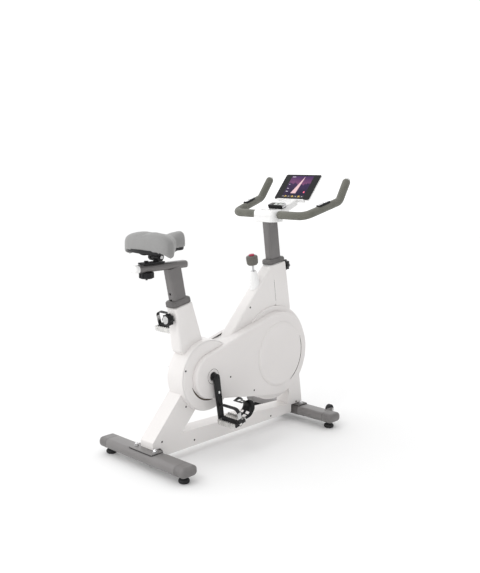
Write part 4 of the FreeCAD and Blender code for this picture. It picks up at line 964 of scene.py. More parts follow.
def head_hood():
    """The front cover over the head tube, with its side seam."""
    hood = prism("head_hood", HEAD, -NECK_HALF, NECK_HALF)
    for level in (-NECK_HALF, NECK_HALF):
        round_face_edges(hood, level, 9.0, sharp=PARTING)
    paint(hood, "body")
    tools = [prism("room", HEAD_ROOM, -NECK_HALF + WALL, NECK_HALF - WALL, finish="body"),
             disc("room", WHEEL, WHEEL_HOUSING + 0.2, -40, 40, finish="body"),
             bush_way("way", "handlebar_lock_spring", 1)]
    seam = [(236.9, 646), (238.1, 646), (250.4, 552), (249.2, 552)]
    for side in (-1, 1):
        tools.append(prism("seam", seam, side * (NECK_HALF - 1.6), side * (NECK_HALF + 2),
                           finish="gap"))
    combine(hood, tools, "DIFFERENCE")
    tidy_mesh(hood)
    soften(hood, 28)
    return fit(hood, "frame", "body_white", "head_cover")


# ---------------------------------------------------------------- drive covers

def drive_cover(side_name):
    """A thin cover over the belt and flywheel, with a raised disc at the wheel."""
    side = SIDES[side_name]
    right = side < 0
    wall = 2.5
    foot = NECK_HALF + 0.4
    slope = math.tan(math.radians(1.4)) if right else 0.0
    top = 80.0 if right else 52.0

    def face(out):
        return lambda x: side * (top - (x - CRANK.x) * slope + out)

    def loop(inset, level):
        return [(x, level(x), z) for x, z in tangent_outline(-inset)]

    rim = rim_levels(0, 9.0, 9.0, 6, False)[1:]
    outer = [loop(0, lambda x: side * foot)] + [loop(inset, face(up - 9.0)) for up, inset in rim]
    inner = [loop(inset + wall, face(up - 9.0 - wall)) for up, inset in reversed(rim)]
    inner.append(loop(wall, lambda x: side * foot))
    cover = loft(side_name + "_drive_hood", inner + outer, "cover")
    rise = 7.0 if right else 4.0
    steps = [(139.6, -1.2), (139.2, 0.0), (138.6, rise * 0.3), (130.5, rise * 0.9),
             (128.0, rise), (125.0, rise)]
    rings = []
    for radius, up in steps:
        level = face(up)
        rings.append([(WHEEL.x + radius * math.cos(a), level(WHEEL.x + radius * math.cos(a)),
                       WHEEL.z + radius * math.sin(a)) for a in full_circle(128)])
    combine(cover, [loft("plateau", rings, "cover")], "UNION")
    tools = [disc("hole", CRANK, 18.0, side * 30, side * 100, finish="cover")]
    groove = [(30.6, -1.4), (30.6, 4), (29.2, 4), (29.2, -1.4), (30.6, -1.4)]
    tools.append(lathe("groove", groove, (CRANK.x, face(0)(CRANK.x), CRANK.z), ALONG_Y * side,
                       "gap", 64))
    if right:
        # the slit beside the wheel disc, its inside painted dark brown as painted shade
        tools.append(arc_cutter("slit", WHEEL, (140.0, 144.6), (-62, 24), face, 2.2, "slot", 1))
    combine(cover, tools, "DIFFERENCE")
    tidy_mesh(cover)
    soften(cover, 25)
    node = "belt_cover" if right else "left_drive_cover"
    return fit(cover, "frame", "body_white", node)


def clusters(node, gap=10.0):
    """The middles of a node's separate little solids."""
    found = []
    for vertex in frame["nodes"][node].data.vertices:
        spot = vertex.co / MM
        for group in found:
            if (group[0] - spot).length < gap:
                group.append(spot)
                break
        else:
            found.append([spot])
    return [(sum((p for p in group), Vector()) / len(group)) for group in found]


def cover_screw_heads():
    make = fastener_maker("screw_head", "knob", "gap")
    places = []
    for spot in clusters("cover_screws"):
        away = 1 if spot.y > 0 else -1
        places.append((spot - ALONG_Y * away * 0.75, ALONG_Y * away))
    heads = make.grow("cover_screw_heads", points_mesh("screw_places", places),
                      head=3.9 * MM, height=1.35 * MM, slot=0.8 * MM)
    return fit(heads, "frame", "knob_black", "cover_screws")


# ---------------------------------------------------------------- feet and stabilisers

def cross_bar(name, spot, levels, finish, wide=76.0, tall=40.0, corner=17.0):
    """A flattened tube's length along Y: levels are (distance along, inset)."""
    loops = []
    for along, inset in levels:
        ring = round_rect(wide - 2 * inset, tall - 2 * inset, corner - inset, 8)
        loops.append([(spot.x + a, along, spot.z + b) for a, b in ring])
    return loft(name, loops, finish)


def stabilisers():
    for end in ("rear", "front"):
        foot = node_middle("foot_%s_left" % end)
        spot = Vector((foot.x, 0, STABILISER_HEIGHT))
        reach = 202.0
        tube = soften(cross_bar(end + "_foot_tube", spot, [(-reach, 0), (reach, 0)], "foot"))
        parts = [tube]
        for side in (-1, 1):
            parts.append(soften(cross_bar("joint", spot, [
                (side * (reach - 1.0), 1.2), (side * (reach + 1.6), 1.2)], "gap")))
        if end == "front":
            parts += wheel_lugs()
            parts.append(soften(cross_bar("sleeve", spot, [
                (-67, -0.4), (-66, -1.6), (66, -1.6), (67, -0.4)], "saddle_sleeve")))
        whole = join(end + "_foot_tube", parts)
        fit(whole, "frame", "post_grey", end + "_stabiliser")
        foot_plate(end, spot)


def foot_plate(end, spot):
    """The welded plate that the bolts hold down, on a thin black strip beneath it that paints the
    shadow line under its edge.
    """
    top = spot.z + 20.0
    level = Matrix.Identity(3)
    # painted shadow: a thin black strip under the plate's edge
    shadow_line_strip = slab("shadow_line_strip", 60, 140, [(-0.6, 0), (1.0, 0)], (spot.x, 0, top), level, "black", 9)
    plate = slab(end + "_foot_plate", 57.6, 137.6, [(1.0, 0), (3.8, 0), (4.4, 0.7)],
                 (spot.x, 0, top), level, "foot" if end == "rear" else "saddle_sleeve", 8)
    whole = join(end + "_foot_plate", [soften(shadow_line_strip), soften(plate)])
    fit(whole, "frame", "post_grey")


def wheel_lugs():
    """The lugs and stub axles that carry the transport wheels."""
    parts = []
    axle = joint_spot("left_transport_spin")
    foot = node_middle("foot_front_left").x
    for side in (-1, 1):
        face = axle.y + 12.5
        outline = [(foot + 8, 51), (foot + 8, 69), (axle.x - 4, 69), (axle.x + 6, 66),
                   (axle.x + 9, 60), (axle.x + 6, 53), (axle.x - 4, 51)]
        lug = prism("lug", outline, side * face, side * (face + 4.4), 0.8, 2, "foot")
        parts.append(soften(lug))
        parts.append(soften(lathe("stub", [(4, 0), (4, 30), (3, 31)],
                                  (axle.x, side * (axle.y - 13.5), axle.z), ALONG_Y * side,
                                  "plated", 24)))
        parts.append(soften(lathe("stub_nut", [(7.5, 0), (7.5, 3.2), (6, 4.4), (2, 4.6)],
                                  (axle.x, side * (face + 4.4), axle.z), ALONG_Y * side,
                                  "plated", 6), 20))
    return parts


def end_plugs():
    """Moulded ends of the stabilisers, their far edges well rounded."""
    plugs = []
    for end in ("rear", "front"):
        foot = node_middle("foot_%s_left" % end)
        spot = Vector((foot.x, 0, STABILISER_HEIGHT))
        for side in (-1, 1):
            levels = [(side * PLUG_START, 0.0)]
            for step in range(9):
                angle = math.pi / 2 * step / 8
                levels.append((side * (PLUG_END - PLUG_ROUND * (1 - math.sin(angle))),
                               PLUG_ROUND * (1 - math.cos(angle))))
            plug = soften(cross_bar("plug", spot, levels, "cap"))
            bush = lathe("bush", [(13.5, 0), (13.5, 2.2), (12.6, 3)], (foot.x, side * 215, 27.4),
                         -ALONG_Z, "cap", 32)
            plugs += [plug, soften(bush)]
    fit(join("foot_tube_plugs", plugs), "frame", "cap_grey", "end_caps")


def levelling_feet():
    """Ribbed rubber feet on threaded studs."""
    ribs = rib_ring_maker("foot_ribs", "rubber")
    for end in ("rear", "front"):
        for hand in ("left", "right"):
            node = "foot_%s_%s" % (end, hand)
            spot = node_middle(node)
            high = node_box(node)[1]
            profile = [(0, 0), (17.5, 0), (19.0, 1.2), (19.0, 2.6), (20.4, 3.4), (20.4, 11.2),
                       (18.6, 14.4), (13.5, 17.2), (11, 17.6), (11, 25.6), (0, 26)]
            pad = soften(lathe(node + "_pad", profile, (spot.x, spot.y, 0), ALONG_Z, "rubber"), 40)
            grip = ribs.grow("grip", count=28, radius=20.0 * MM, rib=0.95 * MM, height=7.4 * MM,
                             lift=7.3 * MM)
            put(grip, (spot.x, spot.y, 0))
            thread = []
            for turn in range(11):
                base = 25.8 + turn * 1.25
                thread += [(3.3, base), (3.95, base + 0.62)]
            stud = lathe("stud", thread + [(3.3, high.z), (0, high.z)], (spot.x, spot.y, 0),
                         ALONG_Z, "plated", 24)
            foot = join(node + "_rubber", [pad, grip, soften(stud)])
            fit(foot, "%s_%s_foot" % (end, hand), "foot_rubber", node)


def transport_wheels():
    tread = rib_ring_maker("wheel_tread", "tread")
    for hand in ("left", "right"):
        spot = joint_spot(hand + "_transport_spin")
        turn = turn_to(ALONG_Y)
        profile = [(4.15, -8), (7.5, -8), (7.5, -9.8), (9.5, -9.8), (10.5, -8), (14.5, -8),
                   (16, -9.6), (17.8, -9.6), (19.4, -7.4), (19.6, 0), (19.4, 7.4), (17.8, 9.6),
                   (16, 9.6), (14.5, 8), (10.5, 8), (9.5, 9.8), (7.5, 9.8), (7.5, 8), (4.15, 8),
                   (4.15, -8)]
        wheel = soften(lathe("wheel", profile, spot, ALONG_Y, "tread", 56), 35)
        ribs = tread.grow("ribs", count=36, radius=19.2 * MM, rib=0.7 * MM, height=14 * MM,
                          lift=0.0)
        put(ribs, spot, turn)
        whole = join("transport_roller_" + hand, [wheel, ribs])
        fit(whole, hand + "_transport", "tyre_black", "transport_wheel_" + hand)


def dome_nuts():
    """Carriage bolts: a washer, a hexagon and a dome on each."""
    parts = []
    for spot in clusters("stabiliser_bolts", 30):
        base = Vector((spot.x, spot.y, 71.3))
        parts.append(soften(lathe("washer",
                                  [(9.6, 0), (9.8, 0.4), (9.8, 1.2), (9.2, 1.7), (2, 1.7)],
                                  base, ALONG_Z, "plated", 40)))
        parts.append(soften(lathe("hexagon",
                                  [(7.6, 1.7), (8.2, 2.4), (8.2, 6.6), (7.5, 7.4), (3, 7.4)],
                                  base, ALONG_Z, "chrome", 6), 20))
        dome = [(6.2 * math.cos(a), 7.2 + 6.0 * math.sin(a)) for a in
                (math.pi / 2 * step / 8 for step in range(9))]
        parts.append(soften(lathe("dome", dome, base, ALONG_Z, "chrome", 32)))
    fit(join("foot_bolts", parts), "frame", "bolt_steel", "stabiliser_bolts")


# ---------------------------------------------------------------- posts and collars

def seat_at(height):
    return Vector((-284 - (height - 628) * math.tan(math.radians(11.5)), 0, height))


def bar_at(height):
    return Vector((260 - (height - 745) * math.tan(math.radians(7.8)), 0, height))


def brake_at(height):
    return Vector((139 - (height - 690) * math.tan(math.radians(10)), 0, height))


def post_collar(node, foot, line, deep, wide, bore_deep, bore_wide, tall):
    """A moulded collar whose top slopes in towards the post."""
    turn = lean(line)
    levels = [(0, 0.8), (0.8, 0)] + [(up, inset) for up, inset in [
        (tall - 9, 0), (tall - 5, 1.0), (tall - 1.5, 4.4), (tall - 0.3, 7.0), (tall, 8.2)]]
    collar = slab(node + "_sleeve", deep, wide, levels, foot, turn, "collar", 16)
    # the bore's walls take the gap finish: painted shade inside the hole
    bore = slab("bore", bore_deep + 0.6, bore_wide + 0.6, [(-5, 0), (tall + 5, 0)], foot, turn,
                "gap", 10)
    seam = slab("seam", deep + 4, wide + 4, [(3.0, 0), (4.2, 0)], foot, turn, "gap", 16)
    core = slab("core", deep - 1.6, wide - 1.6, [(2.5, 0), (4.7, 0)], foot, turn, "collar", 15)
    combine(seam, [core], "DIFFERENCE")
    combine(collar, [bore, seam], "DIFFERENCE")
    tidy_mesh(collar)
    return fit(soften(collar, 30), "frame", "collar_grey", node)


def collars():
    post_collar("seat_collar", seat_at(604), SEAT_LINE, 94, 58, 64, 40, 23)
    post_collar("handlebar_collar", bar_at(716), BAR_LINE, 98, 57, 64, 38, 20)


def ribbed_knob(name, centre, axis, radius, height, flutes, finish, rib=3.0, bore=0.0):
    """A turned knob with rounded finger ribs round its grip."""
    inner = radius - rib * 0.9
    profile = [(bore, 0), (inner - 2, 0), (inner, 1.6), (inner, height - 4.5),
               (inner - 1.6, height - 1.4), (inner - 4.6, height), (bore, height)]
    if bore:
        profile.append(profile[0])
    core = soften(lathe(name, profile, centre, axis, finish, 64), 30)
    ribs = rib_ring_maker(name + "_ribs", finish).grow(
        "ribs", count=flutes, radius=(inner - 0.6) * MM, rib=rib * 1.25 * MM,
        height=(height - 4.4) * MM, lift=(height - 4.4) / 2 * MM + 0.001)
    put(ribs, centre, turn_to(axis))
    return join(name, [core, ribs])


def lock_knobs():
    """The two spring-loaded knobs: a grip, a bright faceted end and the pin's bush."""
    for node, direction, spot in (("seat_lock_knob", -1, (-321, 0, 550)),
                                  ("handlebar_lock_knob", 1, (325.6, 0, 697))):
        low, high = node_box(node)
        axis = ALONG_X * direction
        outer = low.x if direction < 0 else high.x
        start = Vector((outer - direction * 26, 0, spot[2]))
        grip = ribbed_knob(node, start, axis, 23.5, 24.5, 8, "knob", 3.2)
        face = lathe("face", [(15.5, 24.3), (15.5, 25.0), (14.4, 25.8), (0, 25.9)], start, axis,
                     "plated", 12)
        pin = lathe("pin", [(6.1, -18), (6.1, 0.5), (0, 0.5)], start, axis, "plated", 24)
        whole = join(node + "_grip", [grip, soften(face, 20), soften(pin)])
        fit(whole, "seat_lock" if direction < 0 else "handlebar_lock", "knob_black", node)


def wire_springs():
    make = coil_maker("wire_coil", "plated")
    for node, centre, axis, radius, length in (
            ("seat_lock_spring", node_middle("seat_lock_spring"), ALONG_X, 6.7, 6.6),
            ("handlebar_lock_spring", node_middle("handlebar_lock_spring"), ALONG_X, 6.7, 6.6),
            ("brake_spring", node_middle("brake_spring"), BRAKE_LINE, 6.0, 30.0)):
        turns = 3.0 if length < 10 else 7.0
        coil = make.grow(node + "_wire", turns=turns, radius=radius * MM, length=length * MM,
                         wire=0.75 * MM)
        put(coil, centre - axis * length / 2, turn_to(axis))
        fit(coil, "frame", "spring_steel", node)


# ---------------------------------------------------------------- brake

def brake():
    """The white cone that the frame's rod passes through, the knob and its red cap."""
    foot = brake_at(613)
    cone = [(24.8, 0), (24.8, 2), (22.6, 14), (12.9, 74.5), (12.2, 77), (11, 78), (4.15, 78),
            (4.15, 68), (9, 66), (9, -2), (24.8, -2)]
    horn = lathe("brake_cone", cone + [cone[0]], foot, BRAKE_LINE, "trim", 64)
    seat = prism("seat", [(20, 500), (160, 642), (205, 690), (260, 560)], -NECK_HALF - 1,
                 NECK_HALF + 1, finish="trim")
    combine(horn, [seat], "DIFFERENCE")
    tidy_mesh(horn)
    lip = lathe("lip", [(4.2, 77.9), (10.4, 77.9), (10.4, 79.4), (9.6, 80.2), (4.2, 80.2),
                        (4.2, 77.9)], foot, BRAKE_LINE, "plated", 40)
    whole = join("brake_cone", [soften(horn, 30), soften(lip, 30)])
    fit(whole, "frame", "trim_white", "brake_boss")
    base = brake_at(716)
    profile = [(4.15, 0), (15, 0), (18.5, 1.2), (22.3, 5.5), (23.6, 9), (24.6, 22), (24.6, 33.5),
               (23.4, 37.2), (20, 39.6), (13.5, 40.6), (4.15, 40.6), (4.15, 0)]
    grip = soften(lathe("grip", profile, base, BRAKE_LINE, "brake", 72), 30)
    flutes = [lathe("flute", [(9, -4), (9, 46)], base + turn_to(BRAKE_LINE) @ Vector(
        (31.6 * math.cos(a), 31.6 * math.sin(a), 0)), BRAKE_LINE, "brake", 32)
              for a in full_circle(6)]
    combine(grip, flutes, "DIFFERENCE")
    tidy_mesh(grip)
    fit(soften(grip, 30), "brake_grip", "brake_grey", "brake_knob")
    grip.name = "brake_grip_moulding"
    top = brake_at(716 + 41.2 * math.cos(math.radians(10)))
    groove = [(12, 0), (12, 1.4), (11.4, 1.7), (11.4, 2.2), (12, 2.6), (12, 3.6), (11.3, 5.0),
              (9.2, 5.7), (0, 5.95)]
    fit(soften(lathe("brake_red_cap", groove, top, BRAKE_LINE, "red", 56), 30), "brake_grip",
        "brake_red", "brake_cap")


# ---------------------------------------------------------------- saddle slide and saddle

def slide_tube_ends():
    """Moulded plugs: a deep white one behind, a shallow one in front."""
    z = node_middle("slide_end_caps").z
    parts = []
    for x, axis, depth, rim in ((-476, -ALONG_X, 20, 8), (-248, ALONG_X, 6, 4)):
        turn = Matrix((ALONG_Z, ALONG_Y * (-1 if axis.x > 0 else 1), axis)).transposed()
        levels = rim_levels(0.3, depth, rim, 6, False)
        parts.append(soften(slab("plug", 28, 40, levels, (x, 0, z), turn, "trim", 12), 40))
        parts.append(soften(slab("joint", 26.4, 38.4, [(-1.0, 0), (0.6, 0)], (x, 0, z), turn,
                                 "gap",
                                 11), 40))
    fit(join("slide_tube_plugs", parts), "seat_mast", "trim_white", "slide_end_caps")


def slide_knob():
    high = node_box("slide_knob")[1]
    spot = joint_spot("slide_knob_turn")
    knob = ribbed_knob("slide_grip", Vector((spot.x, 0, high.z)), -ALONG_Z, 28.2, 23.6, 10, "knob",
                       3.2, 5.06)
    fit(knob, "slide_lock", "knob_black", "slide_knob")


def clamp_cheeks():
    """Ridged steel cheeks, their bolt with a hexagon head and nut."""
    parts = []
    for side in (-1, 1):
        start = (TILT.x, side * 15.4, TILT.z)
        cheek = lathe("cheek",
                      [(5.1, 0), (14.2, 0), (15, 0.8), (15, 12.6), (14, 13.8), (5.1, 13.8),
                                (5.1, 0)], start, ALONG_Y * side, "black", 48)
        rail = sweep_maker("rail_way", "black").grow("way", line_mesh("way", [
            Vector((TILT.x - 30, side * 22, TILT.z + 9)),
            Vector((TILT.x + 30, side * 22, TILT.z + 9))
        ]), radius=3.7 * MM)
        combine(cheek, [rail], "DIFFERENCE")
        ribs = rib_ring_maker("cheek_ribs", "black").grow("ribs", count=30, radius=14.6 * MM,
                                                          rib=0.4 * MM, height=9 * MM, lift=7 * MM)
        put(ribs, start, turn_to(ALONG_Y * side))
        parts += [soften(cheek), ribs]
    fit(join("rail_clamp_cheeks", parts), "saddle", "crank_black", "saddle_clamp")
    bolt = [soften(lathe("shank", [(0, -33), (4.9, -33), (4.9, 33), (0, 33)], TILT, ALONG_Y,
                         "plated", 32))]
    for side in (-1, 1):
        bolt.append(soften(lathe("nut",
                                 [(5.2, 29.4), (7.2, 29.4), (7.5, 30), (7.5, 33.4), (6.9, 34.2),
                                         (0, 34.2)], TILT, ALONG_Y * side, "plated", 6), 20))
    fit(join("rail_clamp_bolt", bolt), "saddle", "bolt_steel", "saddle_clamp_bolt")


def saddle_rails():
    make = sweep_maker("rail_bar", "crank")
    x, z = TILT.x, TILT.z
    parts = []
    for side in (-1, 1):
        path = smooth_path([(x - 62, side * 34, z + 22.5), (x - 44, side * 22, z + 9),
                            (x + 48, side * 22, z + 9), (x + 104, side * 12, z + 22.5)], 22)
        parts.append(make.grow("rail", line_mesh("rail", path), radius=3.5 * MM, sides=20))
    fit(join("saddle_rail_bars", parts), "saddle", "crank_black", "saddle_rails")


SADDLE_HALF = [(-250, 0), (-254, 22), (-275, 31), (-325, 44), (-372, 92), (-405, 119), (-430, 125),
               (-452, 107), (-462, 70), (-458, 0)]


def saddle_width(x):
    """Half the saddle's width at a distance along it."""
    rows = SADDLE_HALF[1:-1]
    marks = [(-248.2, 3.0)] + rows[:-2]
    for (x1, w1), (x2, w2) in zip(marks, marks[1:]):
        if x2 <= x <= x1:
            share = (x1 - x) / (x1 - x2)
            ease = share * share * (3 - 2 * share) * 0.5 + share * 0.5
            return w1 + (w2 - w1) * ease
    return marks[-1][1]


def saddle_section(reach, crown, skirt, dip):
    """One cross-section, from the middle of the underside round the right-hand flank and back."""
    edge = min(1.0, reach / 40)
    side = [(reach - 14 * edge, 1.0), (reach - 10 * edge, -skirt + 2.5),
            (reach - 5 * edge, -skirt),
            (reach - 1.6 * edge, -skirt + 2.5), (reach, -skirt + 9), (reach, crown * 0.30)]
    shoulder = crown * 0.30
    for step in range(1, 11):
        angle = math.pi / 2 * step / 10
        y = reach * math.cos(angle) ** 0.8
        rise = (crown - shoulder) * math.sin(angle) ** 0.75
        side.append((y, shoulder + rise - dip * math.exp(-(y / 18.0) ** 2)))
    half = [(0.0, 1.0)] + side
    return half + [(-y, z) for y, z in reversed(half[1:-1])]


def saddle_loops():
    """Cross-sections of the saddle from nose to tail."""
    base = node_box("saddle_cushion")[0].z
    stations = 44
    nose, tail = -249.0, -462.0
    loops = []
    for step in range(stations + 1):
        x = nose + (tail - nose) * (0.5 - 0.5 * math.cos(math.pi * step / stations))
        tip = min(1.0, (nose - x) / 24.0)
        heel = min(1.0, (x - tail) / 34.0)
        taper = math.sqrt(max(0.0, 1 - (1 - tip) ** 2)) * math.sqrt(max(0.0, 1 - (1 - heel) ** 2))
        reach = saddle_width(max(x, -430)) * max(taper, 0.08)
        crown = saddle_crown(x) * (0.30 + 0.70 * taper ** 0.55)
        skirt = 24 * math.exp(-((x + 412) / 38.0) ** 2) * taper
        dip = 4.0 * saddle_groove(x)
        loops.append([(x, y, base + z) for y, z in saddle_section(reach, crown, skirt, dip)])
    return loops


def saddle_crown(x):
    """The cushion's height above its base along the middle: high tail, dip, raised nose."""
    marks = [(-465, 50), (-445, 62), (-415, 65), (-370, 55), (-325, 50), (-290, 57), (-266, 60),
             (-245, 52)]
    for (x1, h1), (x2, h2) in zip(marks, marks[1:]):
        if x1 <= x <= x2:
            share = (x - x1) / (x2 - x1)
            share = share * share * (3 - 2 * share)
            return h1 + (h2 - h1) * share
    return marks[-1][1] if x > marks[-1][0] else marks[0][1]


def saddle_groove(x):
    """How deep the middle channel is along the saddle."""
    return max(0.0, 1 - ((x + 385) / 70.0) ** 2)


def saddle_cushion():
    """The padded top: a crowned form, plumped under its cover."""
    pad = loft("saddle_pad", saddle_loops(), "leather")
    plump(pad)
    tidy_mesh(pad)
    step = pad.modifiers.new("smooth", "SUBSURF")
    step.levels = 1
    step.render_levels = 1
    settle(pad)
    soften(pad, 60)
    keep_under(pad, "saddle_cushion", 3.0)
    paint(pad, "leather")
    fit(pad, "saddle", "cushion_grey", "saddle_cushion")


def plump(pad):
    """Blow the cushion up a little under its cover, which draws it softly."""
    shape = pad.modifiers.new("skin", "REMESH")
    shape.mode = "VOXEL"
    shape.voxel_size = 4.5 * MM
    settle(pad)
    base = node_box("saddle_cushion")[0].z
    rest = [vertex.co.copy() for vertex in pad.data.vertices]
    held = pad.vertex_groups.new(name="held")
    held.add([n for n, spot in enumerate(rest) if spot.z / MM < base + 6], 1.0, "REPLACE")
    cover = pad.modifiers.new("cover", "CLOTH")
    cover.settings.use_pressure = True
    cover.settings.uniform_pressure_force = 4.0
    cover.settings.effector_weights.gravity = 0.0
    cover.settings.vertex_group_mass = "held"
    cover.settings.tension_stiffness = 12
    cover.settings.bending_stiffness = 0.6
    for number in range(1, 21):
        bpy.context.scene.frame_set(number)
    settle(pad)
    bpy.context.scene.frame_set(1)
    for vertex, origin in zip(pad.data.vertices, rest):
        shift = vertex.co - origin
        if shift.length > 5 * MM:
            vertex.co = origin + shift.normalized() * 5 * MM


def keep_under(piece, node, spare):
    """Hold the cushion inside its own space, so that it never swells past it."""
    low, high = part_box(node)
    for vertex in piece.data.vertices:
        vertex.co.x = min(max(vertex.co.x, low.x - spare * MM), high.x + spare * MM)
        vertex.co.y = min(max(vertex.co.y, low.y - spare * MM), high.y + spare * MM)
        vertex.co.z = min(vertex.co.z, high.z + spare * MM)


def saddle_pan():
    """The moulded pan under the cushion, with a rolled lip."""
    low, high = node_box("saddle_base")
    outline = [(ring[1][0], ring[1][1] - 3) for ring in saddle_loops()[3:-2]]
    loop = [(x, max(y, 2.0)) for x, y in outline]
    loop += [(x, -max(y, 2.0)) for x, y in reversed(outline)]
    levels = [(low.z + 0.4, 3.0), (low.z + 3, 0.6), (low.z + 7, 0.0), (high.z + 2.5, -1.5)]
    middle = Vector(((low.x + high.x) / 2, 0, 0))
    loops = []
    for z, inset in levels:
        ring = []
        for x, y in loop:
            away = Vector((x - middle.x, y, 0))
            spot = Vector((x, y, 0)) - away.normalized() * inset
            ring.append((spot.x, spot.y, z))
        loops.append(ring)
    pan = soften(loft("saddle_pan", loops, "black"), 40)
    fit(pan, "saddle", "shell_black", "saddle_base")


# ---------------------------------------------------------------- handlebar, meter, tablet

def bar_path(side, start=0.0):
    x = node_middle("stem_housing").x + 1
    return smooth_path([(x, side * start, 922), (x, side * 196, 922), (425, side * 222, 977),
                        (487, side * 217, 1068)], 40, 12)


def handlebar():
    make = sweep_maker("bar_tube", "steel_white")
    tubes = [make.grow("bar", line_mesh("bar", bar_path(side)), radius=12.5 * MM, sides=36)
             for side in (-1, 1)]
    fit(join("handlebar_bend", tubes), "handlebar", "tube_grey", "handlebar_tube")
    parts = []
    for side in (-1, 1):
        parts.append(foam_sleeve(side))
    fit(join("foam_sleeves", parts), "handlebar", "foam_grey", "foam_grips")


def foam_sleeve(side):
    """A foam tube pushed over the bar: swells softly, rounded at its ends."""
    path = bar_path(side, BARE_BAR)
    spots = resample(path, 3.5)
    loops = []
    count = len(spots)
    length = 3.5 * (count - 1)
    across = ALONG_Z.copy()
    for number, spot in enumerate(spots):
        ahead = spots[min(number + 1, count - 1)] - spots[max(number - 1, 0)]
        ahead.normalize()
        across = (across - ahead * across.dot(ahead)).normalized()
        other = ahead.cross(across)
        run = number * 3.5
        end = length - run
        radius = 17.0
        if run < 4:
            radius = 14.2 + 2.8 * math.sqrt(max(0.0, 1 - (1 - run / 4) ** 2))
        if end < 15:
            radius = 17.0 * math.sqrt(max(0.02, 1 - (1 - end / 15.0) ** 2))
        ring = []
        for angle in full_circle(40):
            swell = 0.35 * noise.noise(Vector((run * 0.03, angle * 0.6, side * 4.0)))
            way = across * math.cos(angle) + other * math.sin(angle)
            ring.append(spot + way * (radius + swell))
        loops.append(ring)
    return soften(loft("foam", loops, "foam"), 50)


def resample(path, pitch):
    """Evenly spaced points along a line."""
    spots = [path[0].copy()]
    left = pitch
    for start, end in zip(path, path[1:]):
        run = (end - start).length
        done = 0.0
        while run - done >= left:
            done += left
            spots.append(start + (end - start) * (done / run))
            left = pitch
        left -= run - done
    return spots


def arm_point(side, share):
    low = Vector((node_middle("stem_housing").x + 1, side * 196, 922))
    high = Vector((425, side * 222, 977))
    return low + (high - low) * share


def pulse_sensors():
    """Bright contact plates in black oval surrounds, strapped on the foam."""
    parts = []
    for side in (-1, 1):
        along = (arm_point(side, 1) - arm_point(side, 0)).normalized()
        up = (ALONG_Z - along * along.z).normalized()
        turn = Matrix((along, up.cross(along), up)).transposed()
        spot = arm_point(side, 0.55) + Vector((-3, 0, 13.4))
        base = slab("base", 72, 24, rim_levels(0, 7.6, 3.2, 5, False), spot, turn, "black", 11.5)
        sleeve = sweep_maker("sleeve_way", "black").grow(
            "way", line_mesh("way", bar_path(side)), radius=17.3 * MM, sides=40)
        combine(base, [sleeve], "DIFFERENCE")
        tidy_mesh(base)
        parts.append(soften(base, 35))
        for shift in (-16.3, 16.3):
            plate = slab("plate", 29, 16.5,
                         [(0, 0), (1.2, 0), (2.0, 0.5), (2.5, 1.6), (2.65, 3.4)],
                         spot + turn @ Vector((shift, 0, 6.8)), turn, "chrome", 7.5)
            parts.append(soften(plate, 30))
    fit(join("pulse_plates", parts), "handlebar", "sensor_chrome", "pulse_sensors")


def stem_cover():
    """The white moulding over the stem, split along its middle."""
    spot = STEM_FOOT
    level = Matrix.Identity(3)
    block = slab("stem_cover", 80, 112,
                 [(0, 1.5), (1.5, 0)] + rim_levels(1.5, 50, 12, 7, False)[1:],
                 spot, level, "trim", 18)
    seam = slab("seam", 90, 120, [(23.6, 0), (24.4, 0)], spot, level, "gap", 18)
    core = slab("core", 79, 111, [(20, 0), (28, 0)], spot, level, "trim", 17.5)
    combine(seam, [core], "DIFFERENCE")
    # the ways for the bar and the post leave the gap finish on their walls: painted shade inside
    # the holes
    tube = lathe("way", [(12.8, -60), (12.8, 60)], (231, 0, 922), ALONG_Y, "gap", 40)
    post = slab("way", 65, 39, [(-150, 0), (14, 0)], bar_at(893), lean(BAR_LINE), "gap", 10)
    combine(block, [seam, tube, post], "DIFFERENCE")
    tidy_mesh(block)
    fit(soften(block, 30), "handlebar", "trim_white", "stem_housing")
    block.name = "stem_cover_moulding"


def meter():
    """The small meter on the stem: a display, its bezel, two bright ends and one button."""
    turn = Matrix.Rotation(math.radians(-18), 3, "Y")
    foot = Vector((288, 0, 948))
    body = slab("meter", 34, 82, [(0, 1.0), (1.2, 0)] + rim_levels(1.2, 17.0, 3.4, 5, False)[1:],
                foot,
                turn, "meter", 8)
    # the well and the button hole leave the gap finish on their walls: painted shade inside them
    well = slab("well", 21.5, 45, [(15.6, 0), (20, 0)], foot + turn @ Vector((0, -9, 0)), turn,
                "gap", 2.5)
    hole = lathe("hole", [(5.2, 10), (5.2, 22)], foot + turn @ Vector((0, 22, 0)), turn @ ALONG_Z,
                 "gap", 32)
    combine(body, [well, hole], "DIFFERENCE")
    tidy_mesh(body)
    glass = slab("glass", 21, 44.5, [(15.5, 0), (16.2, 0)], foot + turn @ Vector((0, -9, 0)), turn,
                 "liquid", 2.2)
    parts = [soften(body, 30), soften(glass, 30)]
    for side in (-1, 1):
        spot = foot + turn @ Vector((0, side * 38.8, 0))
        parts.append(soften(slab("end", 27, 5.0, rim_levels(3.5, 17.6, 1.8, 4, False), spot, turn,
                                 "chrome", 2.4), 30))
    for shift, text in ((3.6, "0245"), (-4.4, "128")):
        centre = foot + turn @ Vector((shift, -9, 16.25))
        parts.append(digits("reading", text, centre, turn @ -ALONG_Y, turn @ ALONG_X,
                            turn @ ALONG_Z, 4.6, "gap"))
    fit(join("meter_case", parts), "handlebar", "meter_black", "console_meter")
    press = foot + turn @ Vector((0, 22, 15))
    button = lathe("meter_push", [(4.9, 0), (4.9, 3.6), (4.4, 4.5), (3, 4.95), (0, 5)], press,
                   turn @ ALONG_Z, "cap", 40)
    fit(soften(button, 30), "meter_button", "button_grey", "console_button")


